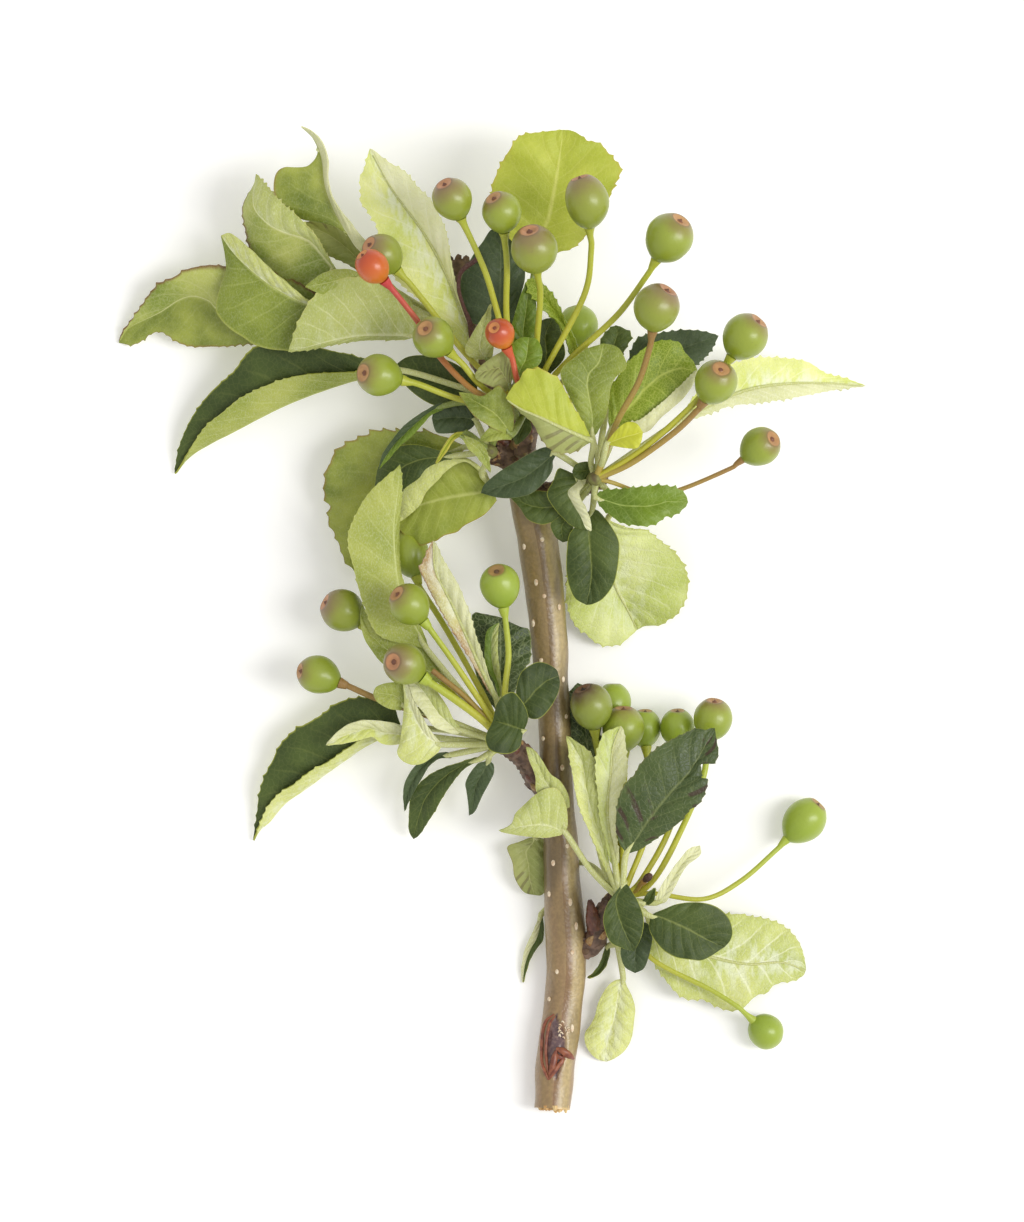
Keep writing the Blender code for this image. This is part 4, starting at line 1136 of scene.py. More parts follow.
TOP_LEAVES = (
    Blade(
        "far_left_twisted", (15, 9, 0.9),
        "-43,137 -52,136.2 -61.5,137 -66,136.6 -70,136.5 -73.5,136.6 -76,137.3 -78.3,138.8 -80,139.6 -82,139 "
        "-84,137.5 -86,137 -88.2,137.4",
        "-43,143 -52,149 -60,152 -66.5,152.4 -70,152.6 -74.5,151.8 -77,150.3 -80,149 -82,147 -83,145.5 "
        "-85.3,142.2 -86.5,140.5 -87.8,138.6 -88.2,137.4",
        Finish.LEAF_GREEN, Finish.UNDER_GREEN, left_rise=(1, -1.5, 0), right_rise=(1, 2.5, 0),
        right_face=Finish.RIMMED, tooth=0.5,
        rib="-42,140 -55,143 -67,143.5 -70,145.5 -73,146.5 -76,145.8 -80,143.3 -86,140.4 -88.2,137.4",
    ),
    Blade(
        "left_blunt", (17, 16, 13),
        "-46,139 -53,135.8 -55,135.6 -58,135.9 -61,136.8 -63,138.2 -65.5,139.8 -67.5,141.8 -68.5,144 "
        "-67.5,148.6 -66.5,151.5 -66.8,155 -67.5,158.3",
        "-46,143.6 -50,145.4 -53,147.8 -57,151.2 -60,154.2 -62,156 -64.8,158.4 -66,159 -67.5,158.5",
        Finish.SMOOTH, Finish.MID, left_rise=(-1, -2, 0), right_rise=2, right_face=Finish.UNDER,
        rib="-45,142.5 -50.2,144.6 -54,146.4 -58,148.8 -62,152 -65,155 -67.5,158.4",
    ),
    Blade(
        "upper_left_toothed", (18, 19, 15),
        "-43.4,146 -48,146 -53.5,148 -58.5,151.4 -61.6,155.4 -62.8,160.5 -63.2,162.5 -63.2,164.2 -62.5,166 "
        "-61,168.5 -60.5,170.7",
        "-44,151 -47,155.5 -48.5,158 -50,159.8 -52,162 -55,164.5 -57.5,167.3 -60.5,170.7",
        Finish.RIMMED, Finish.UNDER_GREEN, left_rise=(-3, -5.5, 0), right_rise=2.2,
        right_face=Finish.UNDER_GREEN, tooth=0.5,
        rib="-43,149 -48.5,156 -51,157.8 -55,159 -58.5,161 -61,164.5 -60.5,170.7",
    ),
    Blade(
        "tailed", (17, 20, 20),
        "-37.2,154.3 -40.4,157 -42.9,160.2 -46,161 -49,161.1 -51.5,161.6 -54,163 -56,164.8 -56.9,167.5 "
        "-56.4,170.6 -54.5,171.9 -51.2,171.6 -48.6,173.2 -47.9,174.6 -48.9,177.2 -50.1,178.6 -51.5,179.8",
        "-36,154.5 -38.6,157.2 -41.5,160.6 -44,163.6 -45.6,166.6 -46.2,170 -46.2,173 -46.8,175.5 -48,177.6 "
        "-49.6,179 -51.5,179.8",
        Finish.LEAF_GREEN, left_rise=-1, right_rise=2.4, right_face=Finish.UNDER_WHITE,
        rib="-36,153.5 -40,155.4 -42.5,159 -45,163.4 -46.7,168 -47.2,172.5 -47.8,175 -48.8,177.2 -50,178.6 "
        "-51.5,179.8",
    ),
    Blade(
        "upper_standing", (16.5, 21.5, 19),
        "-18,133 -20,137 -24,142 -28.5,146 -32,149 -34,152 -36,158.5 -36.5,160.5 -37.3,161.6 -38.5,163.5 "
        "-39.6,165 -39.5,167 -39.8,169.5 -38.9,171.5 -38.4,173.5 -37.8,175.6",
        "-17,136 -18.5,141 -20,146.5 -21,150 -22.2,156 -22.8,159 -24,162 -25.5,164.8 -27,166.5 -29,168.5 "
        "-30.5,170.5 -32.5,171.8 -34,172.7 -36.6,174.8 -37.8,175.6",
        Finish.PALE, Finish.MID, left_rise=1.5, right_rise=2.2, left_face=Finish.LEMON, veins=9,
        ribbed=Finish.PETIOLE, tooth=0.5,
        rib="-16.8,133 -18,138 -20,144 -22,149 -25,155.5 -28,160 -31,164 -35,169.8 -37.8,175.6",
    ),
    Blade(
        "behind_tailed", (13, 13.4, 12),
        "-37,149 -42,152.6 -46.5,154.8 -50,158 -51.8,160.8",
        "-36.6,151 -38.8,154.4 -42.4,160 -46,162 -51.8,160.9",
        Finish.OLIVE, tooth=0.2, veins=5,
    ),
    Blade(
        "small_fold", (18.4, 20.4, 20.6),
        "-38.4,147 -43,147.4 -47,146.6 -50.6,148",
        "-38,149.6 -42,151.6 -47,150.8 -50.6,148.1",
        Finish.GREY, veins=4, left_rise=-0.6, right_rise=1.2,
    ),
    Blade(
        "left_fan", (18, 20, 18.6),
        "-30,137.6 -38,137.5 -42,137.1 -46,136.4 -50,135.6 -54,135.2",
        "-29,144 -30,146 -34,148.5 -39.5,149.8 -42,150 -44.5,149.5 -46,148.8 -47.5,147.3 -49,146 -50,144.8 "
        "-51.1,143 -52,141 -52.9,138.5 -54,135.3",
        Finish.UNDER_GREEN, Finish.MID, left_rise=(-0.5, -1.2, 0), right_rise=0.4, veins=6, tooth=0.5,
        rib="-28,138.4 -38,138.4 -42,138 -46,137.2 -50,136.2 -54,135.3",
    ),
)

CROWN_DARK_LEAVES = (
    Blade(
        "long_folded", (18, 10.5, 0.7),
        "-33,132.2 -40.5,131.4 -45,131.2 -51,130.8 -56,129.6 -60,128 -64,126 -67,123.6 -70.3,121 -73,117.6 "
        "-76.3,112.3 -77.1,111.4",
        "-33,133.4 -39.2,134 -42,134.8 -45,135.4 -51,136.8 -57,137 -60.5,136.5 -62.8,134.6 -65,131.6 -68,129 "
        "-70.1,127 -73,123.2 -74.6,120.3 -75.8,117.5 -76.5,115 -77.1,111.4",
        Finish.DARK, Finish.GREY, tooth=0.3, left_rise=(1, 2.6, 0.3), right_rise=(0.2, 0.8, 0), veins=12,
        rib="-31.6,131.6 -40.5,129.8 -45,128.5 -50,126.8 -55,124.8 -60,122.4 -65,119.8 -70,117.3 -74,114.8 "
        "-77.1,111.4", via="-18,127.6,20",
    ),
    Blade(
        "blue_green", (19, 18.6, 17),
        "-12,137.6 -15.5,140.3 -17.5,141 -19,144 -20,148 -19.5,150.5 -17,155 -15.5,157 -14,159.3 -12.5,160.2",
        "-10.5,137.6 -9.2,142 -8,146 -7,150 -7.4,154 -8.6,157.6 -10.5,159.6 -12.5,160.2",
        Finish.BLUE_DARK, rib="-11.4,136.5 -12,141 -11.8,156 -12.5,160.2",
    ),
    Blade(
        "under_left_fruit", (18.6, 17, 14.6),
        "-17,125 -21,124 -26,125 -30.6,128.4 -33,132.6",
        "-16,128.6 -20,132.4 -25,134.4 -30,134.4 -33,132.6",
        Finish.DARK,
    ),
    Blade(
        "dark_centre", (20, 22.2, 22.2),
        "-4.2,130 -5.8,134 -6.8,138 -6,140 -5,140.8 -3,141.7 -1.5,141.9",
        "-2.8,130 0.8,134 0.3,138 -0.3,140.5 -1.5,141.9",
        Finish.DARK,
    ),
    Blade(
        "small_dark", (19.6, 20, 20),
        "-6.5,122.5 -5.7,120 -7,118 -8.5,116.8",
        "-8,122.8 -9,121 -9.6,119 -9,117 -8.5,116.8",
        Finish.DARK, veins=4,
    ),
)

CROWN_PALE_LEAVES = (
    Blade(
        "large_round", (20.5, 21.6, 21),
        "-6.5,153 -9.5,157 -12,161.5 -13.3,165.2 -13.5,168.2 -12.6,170.5 -11.6,172.7 -10.2,175 -8.6,177.4 "
        "-7,178.3 -4.8,178.6 -1.7,179 0.6,179.2",
        "-4,152.8 -0.3,154.9 1.5,155.3 3,156.2 5,158.2 9,164.5 10,166.5 10.5,168 11.4,169.5 12,171.5 "
        "10.7,173.2 9.3,174.8 7.8,176.5 5.5,176.9 4.5,177.7 2.6,178.9 0.6,179.2",
        Finish.BRIGHT, Finish.UNDER_GREEN, petiole=Finish.PETIOLE_DARK, ripple=0.7, tooth=0.5,
        rib="-5,152.5 -4.6,157 -3,160 -2,163 -0.6,171 0.6,179.2", via="-7,138,21",
    ),
    Blade(
        "folded_olive_left", (30.4, 30.8, 30.2),
        "-10.5,127 -14,128.2 -16.5,129.4 -17,130.5",
        "-9.4,129 -10.4,135.2 -12,134.8 -14,133.6 -16,132 -17,130.5",
        Finish.OLIVE, veins=5, petiole=Finish.PETIOLE_DARK, via="-8.4,121.6,24.4 -9,125.4,27.6",
    ),
    Blade(
        "folded_olive_right", (30.2, 30.8, 30),
        "-9,130 -9.8,133 -9.6,135.5 -9,137 -7.6,137.9 -6.5,137.8",
        "-8,129.6 -6,131.4 -4.2,132.5 -3.6,134.5 -4,136.4 -5,137.7 -6.5,137.8",
        Finish.GREEN, veins=5, petiole=Finish.PETIOLE_DARK, start=(-9.6, 126.4, 30.1),
    ),
    Blade(
        "star_upper", (28.8, 31.8, 31),
        "-10.2,118.6 -13.2,119.8 -14.6,120.6 -16.5,121.8 -17.7,123 -18.8,124.6 -20.1,127",
        "-9.4,119 -9.2,122.7 -10.2,125.8 -12,128.3 -13.8,127.2 -15.6,126.2 -18,126.8 -20.1,127",
        Finish.LEAF_GREEN, left_rise=1.2, right_rise=0.6, veins=5, petiole=Finish.PETIOLE_DARK,
        rib="-9.8,118.8 -12.6,122.4 -15.6,124.4 -20.1,127",
    ),
    Blade(
        "star_lower", (28.4, 30.4, 29.6),
        "-9.4,117.6 -11.4,117.6 -14,117.2 -16.2,117.4",
        "-9.4,119.8 -11.6,120.8 -13.8,120.2 -15.2,118.8 -16.2,117.4",
        Finish.LEAF_GREEN, Finish.UNDER_WHITE, veins=4, petiole=Finish.PETIOLE_DARK,
    ),
    Blade(
        "small_light", (24.6, 26, 26),
        "-15,133.5 -17,133.7 -18.5,134.5 -18.8,136 -17,139.5 -15,142.5 -13.8,144.6",
        "-13.5,133.5 -13.2,137 -13.7,141 -13.8,144.6",
        Finish.UNDER_GREEN, Finish.MID, veins=5, petiole=Finish.PETIOLE_DARK, via="-10.4,128.4,22",
    ),
    Blade(
        "narrow_light", (24.6, 25.6, 25.6),
        "-9,134 -9.8,139 -9.2,142 -8,146 -6.8,149",
        "-6,134 -5,139 -4.8,142 -5,146 -6.8,149",
        Finish.GREEN, Finish.MID, petiole=Finish.PETIOLE_DARK, veins=5,
    ),
    Blade(
        "arching_lime", (24.6, 26, 25.6),
        "2.8,132.8 2,134.4 1,138 -0.5,141 -2.5,142.6 -5,145.4 -6.5,147.5 -6.6,149.5",
        "4.6,133.5 3.6,135.5 2.4,138.5 0.9,141.4 -0.3,144 -1.5,146.3 -3,148 -4.5,149.3 -6.6,149.5",
        Finish.LIME, Finish.UNDER_GREEN, left_rise=1.2, right_rise=0.8, tooth=0.5, via="-0.6,128.2,23.6",
    ),
)

RIGHT_DARK_LEAVES = (
    Blade(
        "far_dark", (23.6, 22.4, 20),
        "14.4,131 13.5,133.2 15,137.5 18,138.5 22,139.2 25,139.5 28.5,139.2 31.4,138.4",
        "17,129 21,130 26,132 29.5,135 31.4,138.4",
        Finish.BLUE_DARK, tooth=0.5,
    ),
    Blade(
        "hanging_dark", (22, 21, 19),
        "6.8,104.3 8,103.2 10,100.7 11.5,98 11.7,95.5 11.3,92 10.5,89 8.5,86.3 6.5,85.2 5.2,85",
        "5.8,104 2.7,100.3 1.6,98.5 1.2,95 1.2,91.5 1.8,88.5 3,86.2 5.2,85",
        Finish.DARK, bulge=0.9, rib="6.4,104.3 5.5,101 6.2,91.5 5.2,85",
    ),
    Blade(
        "left_dark", (22.6, 21.4, 19.6),
        "-0.8,114.5 -1.5,113.5 -1.7,111.5 -3.5,109 -6,107 -9.5,106.2 -12.5,106.3 -15.8,107.2",
        "-0.5,115.5 -3,116.3 -6.5,114.8 -9,113.3 -12,111.5 -15,109 -15.8,107.2",
        Finish.BLUE_DARK,
    ),
    Blade(
        "stem_dark", (21, 19.8, 18.6),
        "1.6,105 1,104 0.3,102.2 -2,101.3 -4,101 -6.5,102 -8,104.2 -9.8,106.2",
        "1.5,106.5 -2,107.4 -6,107.6 -9.8,106.2",
        Finish.DARK, veins=5,
    ),
    Blade(
        "stem_dark_low", (21, 20.2, 19),
        "2.6,103.5 2.6,100.5 1.8,98 0.5,97.4",
        "1.5,103.5 -1,102 -2,100.8 -1,98.5 0.5,97.4",
        Finish.DARK, veins=4,
    ),
    Blade(
        "white_curl", (22.6, 23.8, 22.6),
        "5.5,110.4 4.5,108.8 3.7,107 5,104 6,101.5 6.2,99.8",
        "1,112 -0.5,112 -1.5,109.5 -2.7,107 -1.5,104.5 0.5,102.2 2.5,100.5 5,99.8 6,99.6",
        Finish.DARK, left_rise=1.6, right_rise=-0.8, left_face=Finish.UNDER_WHITE, veins=5,
        rib="3.5,110.5 3.3,109.3 1.5,107.5 2.2,105.5 4,102.5 5,100.2 6,99.6",
    ),
    Blade(
        "round_dark", (22.8, 24.4, 24.8),
        "7,111 6.2,110.3 4,109.7 2.7,110.4 2.3,111.4",
        "7.4,111.8 6.8,112.9 5,113.4 3,112.8 2.3,111.4",
        Finish.DARK, veins=3,
    ),
    Blade(
        "standing_bit", (23.6, 24.4, 24),
        "9.5,132 8,135 8,137.5 9.5,139.5 11,140.4",
        "11,132 12.5,135 14,138.2 12.8,139.6 11,140.4",
        Finish.DARK, veins=4, tooth=0.5,
    ),
)

RIGHT_PALE_LEAVES = (
    Blade(
        "light_over_crown", (31, 34.8, 34.6),
        "5.8,116.6 5,116.6 3,115.3 0,115 -2,115.7 -4,118 -5.5,120.8 -8,123 -10.8,125.8",
        "6.2,118 5.5,119 4.5,121 3.5,122.5 2,125 0.5,128 -0.8,130 -2,130.5 -3.5,131.3 -5.5,131.5 -7.3,131 "
        "-8,129.5 -9.5,128 -10.8,125.8",
        Finish.BRIGHT, left_rise=-1.6, right_rise=0.4, left_face=Finish.OLIVE, ribbed=Finish.PETIOLE,
        tooth=0.5, rib="6.4,117.2 3,118.7 0,120 -3,121.5 -6,122.8 -9.5,124.4 -10.8,125.8", via="6,113.2,26.6",
    ),
    Blade(
        "smooth_round", (30.4, 32.4, 32),
        "5.8,118 5.2,118.8 4.3,121 2,125.5 0,130 0.5,132 3,134 5,135.5 8.4,136.6",
        "6.8,118 7.5,119.5 8.8,122 9.5,125 9.9,128 11,130 13,132 12,135 10.5,136.2 8.4,136.6",
        Finish.SMOOTH, quilt=0.05, veins=5, via="7.4,113.4,26.6",
    ),
    Blade(
        "netted_lime", (27.8, 28.8, 27.6),
        "9.3,120 9.6,125 10,128 12,131 13.5,133.2 15.5,134.8 17.5,136.5 20.5,137.3 23.5,136.8 24.4,135.2 "
        "26.3,133 27.2,131",
        "10.5,118.6 13,119 17,119.5 20,122.5 24.5,126.5 27.2,131",
        Finish.LIME, Finish.UNDER_WHITE, left_rise=0.6, turn_rise=0.8, tooth=0.35,
        right_turn="11,119.6 13.5,120.8 16,121.7 19.6,124.6 23.6,128.2 26.9,131.2",
    ),
    Blade(
        "far_right_long", (22, 13, 0.8),
        "24,122.5 27,127 30,131 34.6,133 40,134.2 48.6,133.6 53,131.2 57.2,130.2 61.2,128.8",
        "23.5,121.2 28,122.4 33.4,124.4 40,125.3 47,126.4 55,128 61.2,128.8",
        Finish.LEMON, Finish.MID, right_face=Finish.UNDER_WHITE, veins=9, ribbed=Finish.PETIOLE, tooth=0.5,
        rib="24,121.8 30,125 38,128 47,129.2 55,129.2 61.2,128.8",
    ),
    Blade(
        "vivid_green", (27.8, 28.8, 28),
        "6.8,107 9,107.7 12,107.9 16,108.3 20,108.6 23,108 24.7,106.8 25.2,105.3",
        "7,105.5 8.5,103.8 10.5,102.2 12,101.3 14.5,100.8 17,100.6 19.2,101.3 20.6,102.4 22.5,102.8 "
        "24.5,104.2 25.2,105.3",
        Finish.GREEN, tooth=0.5,
    ),
    Blade(
        "broad_underside", (14.6, 6.6, 0.9),
        "10,101.5 14,100 17,99.8 19,98.5 21.5,96.5 24,94 25.3,91 25.5,88.5 25,86 24,84.3 23.2,83 21.5,82 "
        "20,81 17,80.8 15.4,80",
        "8.8,101.5 5,98 2.5,94 1.2,88 1.5,85 2.2,82.5 3.5,80.5 5,79.5 6.5,78 8.5,77 10,76.9 12,77.2 "
        "13.5,78.3 15.4,80",
        Finish.UNDER_LIGHT, Finish.MID, ribbed=Finish.PETIOLE, ripple=0.6, tooth=0.5,
        rib="9.4,102 9.8,96 10.5,90 12.5,86 14.5,82 15.4,80", via="9.6,107.2,24.8 11,104.8,20",
    ),
    Blade(
        "small_yellow", (34.2, 35.8, 36),
        "9,117 11,119.5 13,121 15,120.7 16.2,119",
        "9.2,116.6 12,116 14.8,115.8 15.8,117 16.2,119",
        Finish.YELLOW, veins=4, via="7.6,111.6,27.4 8.4,113.8,31.4",
    ),
)

LEFT_BROAD_LEAF = (
    Blade(
        "large_left", (16.6, 8.5, 3.4),
        "-19.5,115 -24,110 -28,103 -32,96 -36,91.5 -40.2,90.2",
        "-20,117.5 -25,119 -28,119.5 -31,119.4 -36,119.7 -38,119 -41,117.8 -44.5,115.8 -46.3,112.6 -47,109 "
        "-46.8,106 -45.8,104.5 -46.2,101.5 -44.8,99 -43.9,96.5 -42.8,93.6 -41.3,92.1 -40.2,90.2",
        Finish.LEAF_GREEN, Finish.UNDER_GREEN, tooth=0.85,
        rib="-19,116.4 -28,113.4 -34,109 -38.5,102 -40.2,90.2", via="-17.2,116.2,18.1",
    ),
)

LEFT_DARK_LEAVES = (
    Blade(
        "lower_dark", (18.4, 15.6, 12),
        "-21,113.9 -25.5,112 -30,108.5 -32,106.5 -35,107 -36.9,108.6",
        "-21,115.3 -23.5,115.6 -25,116 -28,116.8 -31,116.8 -33,116 -36,113 -36.8,109.4 -36.9,108.6",
        Finish.DARK,
    ),
    Blade(
        "narrow_dark", (21.6, 19.6, 17),
        "-22.8,123.8 -25,123 -26.5,121.8 -28,120 -30,118 -32,116.4 -34,114 -36,112",
        "-23,125.2 -24,125 -26,124 -28.5,122.5 -31,120.6 -33,118.3 -35,115.5 -35.8,113.5 -36,112",
        Finish.BLUE_DARK, left_face=Finish.GREEN, petiole=Finish.PETIOLE_DARK,
        via="-12,122,23 -18.2,125,22.6",
    ),
    Blade(
        "dark_round", (21, 20.4, 19.6),
        "-16.8,120.8 -18,119.8 -20,119.2 -24,119 -25,120 -25.5,122",
        "-16.8,122.5 -18,124.5 -20,125.3 -23,125 -25,123.6 -25.5,122",
        Finish.BLUE_DARK, veins=5,
    ),
)

LEFT_PALE_LEAVES = (
    Blade(
        "light_folded", (17.2, 15.6, 12.6),
        "-12,106.5 -15,103 -19,100.8 -20.5,99.5 -23,98.8 -24.5,97.8 -26,97.3 -27.8,96.8 -29,98 -31,99 "
        "-32.2,100.5 -32.3,101.6",
        "-14,110.5 -18.5,113.9 -23,114 -26,113 -28.5,111 -30.5,108.5 -31.8,105.5 -32,103 -32.3,101.6",
        Finish.MID, left_rise=-0.6, right_rise=1.2, turn_rise=1.2,
        rib="-13.6,108.4 -15.8,107.3 -22,106.3 -27.5,105 -30.4,103.6 -32.3,101.6",
        right_turn="-14.5,110.3 -18,113.3 -20.5,113 -23,111.2 -24,110 -26.5,107.5 -27.8,105 -30,103 "
        "-32.2,101.7", via="-15,112.6,22.4 -15.6,110.8,19.4",
    ),
    Blade(
        "thin_stipule", (23.6, 23, 20.6),
        "-18.5,118.8 -21,118 -22.8,115.4 -24.6,113",
        "-18.6,119.4 -21.1,118.7 -23.2,116 -24.7,113",
        Finish.BRIGHT, petiole=Finish.PETIOLE_DARK, veins=3, bulge=0.1,
    ),
    Blade(
        "spear_stipule", (25.2, 25.4, 24),
        "-19.8,118.8 -17.5,118 -15.5,116.8 -14.3,114.5 -13.8,111.2",
        "-19.6,118.2 -18.3,116 -17,114.8 -15.2,112.8 -13.8,111.2",
        Finish.GREY, petiole=Finish.PETIOLE_DARK, veins=3, bulge=0.3,
    ),
)

MIDDLE_DARK_LEAVES = (
    Blade(
        "netted_dark", (13.8, 12.6, 10.6),
        "-12,63 -15.5,68 -17.5,74 -18,79 -17.3,83.2 -15.5,83.3 -12,82.6",
        "-10,63 -9,68 -7,72.5 -6,74 -6,79.7 -7.8,80.6 -10,81.6 -12,82.6",
        Finish.NETTED, tooth=0.25, quilt=0.3,
    ),
    Blade(
        "narrow_green", (15.8, 15.5, 14.6),
        "-12.4,65 -12.4,67.5 -13,69.5 -14.8,73 -15,77 -14.5,80 -12.2,81.5",
        "-11.6,65 -11.5,67 -12,72 -12.4,76 -12.3,80 -12.2,81.5",
        Finish.GREEN, right_face=Finish.UNDER_GREEN, veins=5,
    ),
    Blade(
        "far_left_folded", (11.6, 7, 0.7),
        "-32.5,62 -37,60 -42.5,56.5 -46,54 -50,51.8 -53,49.4 -55,48.2 -57.5,46 -59.5,42.5 -61.4,38",
        "-31.5,64 -33,65 -36,66.2 -38.5,66.6 -42,66.3 -45,65.2 -47,63.5 -50,61.7 -53,60 -55.8,57.2 "
        "-57.5,53.8 -59.3,50 -60.2,46.5 -60.6,43 -61.4,38",
        Finish.DARK, left_rise=(0.8, 2, 0.3), right_rise=(0.2, 0.8, 0), veins=9, tooth=0.5,
        rib="-32,60.4 -38.8,57 -42,54.8 -46,52 -51,48.3 -55,45.5 -58,42 -60,40.2 -61.4,38", via="-22,60,14",
    ),
    Blade(
        "lower_left_dark", (14.4, 9, 3),
        "-15.5,54 -18,53.1 -20,51.5 -22,48.8 -23.5,46.5 -25,43.8 -26.5,41.5 -28,39.2 -29.3,38.2",
        "-16,55 -18,54.3 -20,53.6 -23,52.7 -26,51.2 -28.5,49 -29.8,47 -30.1,44.5 -30.2,42.5 -30.2,40 "
        "-29.3,38.2",
        Finish.DARK, tooth=0.12,
    ),
    Blade(
        "left_dark_small", (13, 11, 8),
        "-21,54.5 -24,54.4 -26,53 -27.5,50.5 -29,48 -30.3,45.5 -31,43.8",
        "-22,56 -25.6,55 -28.5,53.3 -29.8,51.8 -31,49.5 -31.3,47 -31,43.8",
        Finish.BLUE_DARK,
    ),
    Blade(
        "hanging_blue", (12.4, 10.4, 7.4),
        "-13.6,54 -13.2,53 -13.2,51.5 -14,49.8 -15.5,47 -17,43.8 -18.2,43",
        "-15,54 -16.5,53.3 -18,51.5 -18.9,49.5 -18.7,48 -18.3,45 -18.2,43",
        Finish.BLUE_DARK, via="-13.8,55.4,15.2",
    ),
)

MIDDLE_PALE_LEAVES = (
    Blade(
        "tall_underside", (18.6, 17, 19.6),
        "-28,76.5 -36,79 -39,85 -39.8,87.5 -40.5,90 -41,92.5 -41.8,95 -42.1,97 -42,99.5 -41,102 -39.8,104.5 "
        "-38.5,106.5 -37,108.3 -35,110 -34,111 -32.8,111.8 -31.8,112.8",
        "-26.4,77.5 -29,84 -31.2,90 -31.8,93 -32,97 -31.9,102 -31.5,106 -31.4,110 -31.8,112.8",
        Finish.GREY, Finish.MID, left_rise=0.6, right_rise=-1.4, veins=10, tooth=0.25,
        rib="-26,75.6 -30.6,84.5 -32.2,90 -32.9,97 -32.9,102 -32.3,107 -31.8,112.8",
    ),
    Blade(
        "low_underside", (17.6, 16.4, 14.6),
        "-23,69.5 -28,70 -32,71.2 -35.5,73.5 -37.5,76 -39,78.5 -39.7,81.5 -39.7,84 -39.4,85.2",
        "-22,71 -22.5,71.5 -25,74 -27,76 -28.5,77.5 -31,77.7 -33.8,78.3 -36,79.8 -37.5,81.5 -39.4,85.2",
        Finish.GREY, Finish.MID,
    ),
    Blade(
        "red_margined", (20, 19.4, 17.6),
        "-13.2,66 -16,71 -19,76 -22,81 -25,86 -27,90 -28,92.3 -27.3,93.6 -26.3,96 -25.3,97.8",
        "-12,66 -13.5,69 -14.5,71.5 -15.5,75 -16.8,79 -17.9,83 -19,86 -20.5,89.5 -22,92 -23.5,94.5 "
        "-24.3,96.5 -25.3,97.8",
        Finish.UNDER_WHITE, Finish.MID, left_face=Finish.ROSY, left_rise=0.8, right_rise=1.2, veins=9,
        tooth=0.3, ribbed=Finish.PETIOLE,
    ),
    Blade(
        "curled_yellow", (16.2, 15.4, 13.6),
        "-28,58.2 -32.2,57.3 -34.5,57.2 -36,57.8 -37.5,58.8 -40,58.1 -43.5,57.4 -46.6,57.1",
        "-28,60 -33,61.5 -36,62 -39,62.1 -42,61.3 -44,60 -45.5,58.5 -46.6,57.1",
        Finish.UNDER_WHITE, Finish.MID, left_face=Finish.LEMON, left_rise=1, right_rise=1.4,
        via="-20,58.2,18.4",
    ),
    Blade(
        "folded_pale", (20, 20.6, 20.2),
        "-23.6,56.6 -24,56 -25.8,54.5 -27.5,53.5 -29.5,53.3 -31.5,54.2 -32.4,55.8 -31.8,58 -31.3,62 -31,66 "
        "-31.2,69.5 -30.8,69.8",
        "-23.4,57.6 -24.5,58.5 -26,60.5 -27.5,63 -29.3,66.5 -30.3,69.5 -30.8,69.8",
        Finish.UNDER, Finish.MID, right_face=Finish.UNDER_WHITE, left_rise=-1, right_rise=1,
        rib="-23.3,57.3 -26,58.6 -28.2,61.5 -30,66 -30.8,69.8",
    ),
    Blade(
        "folded_bright", (20.6, 21, 20.6),
        "-19.6,59.6 -21,59.4 -23,60 -25,60.8 -27,63.5 -29,66 -30.2,69.6",
        "-19.4,60.6 -21,62 -22.5,65 -24.5,68 -26.3,71 -28.6,71.4 -30.2,69.6",
        Finish.UNDER_GREEN, Finish.MID, left_face=Finish.UNDER_WHITE, left_rise=0.8,
    ),
    Blade(
        "fuzzy_grey", (18.2, 17.8, 17),
        "-31.3,64 -34,64.4 -36.4,65.8 -37.2,67.4",
        "-30.6,66 -31.3,69.3 -34,69.6 -36.5,68.8 -37.2,67.4",
        Finish.GREY, veins=4, via="-22,62,19.4",
    ),
)

MIDDLE_ROUND_LEAVES = (
    Blade(
        "folded_round", (25.7, 26.2, 25.8),
        "-7.4,60.2 -7.5,59.5 -8,57 -9.8,55.7 -12,55.6 -14,56.3 -14.8,58 -14.7,59.5 -13.8,61.2 -13.4,62.1",
        "-7,60.5 -6.4,62.5 -6.8,64.5 -8,66.5 -9.5,67.8 -11.5,67 -12.6,65.5 -13,64 -13.4,62.1",
        Finish.DEEP, left_rise=1, right_rise=1.6, veins=4, rib="-7.2,60.3 -8,60.5 -11,61.5 -13.4,62.1",
    ),
    Blade(
        "round_over_stem", (25.2, 24.6, 23),
        "-8.4,65.5 -8.8,68 -8,71.3 -6.5,72.8 -4.5,73.7 -2.5,73.3 -0.8,72.2 -0.3,70.8",
        "-7.6,64.2 -6.5,62.8 -5,62.4 -3.5,63 -1.8,65 -0.5,67.5 -0.1,69.6 -0.3,70.8",
        Finish.DEEP, veins=5,
    ),
)

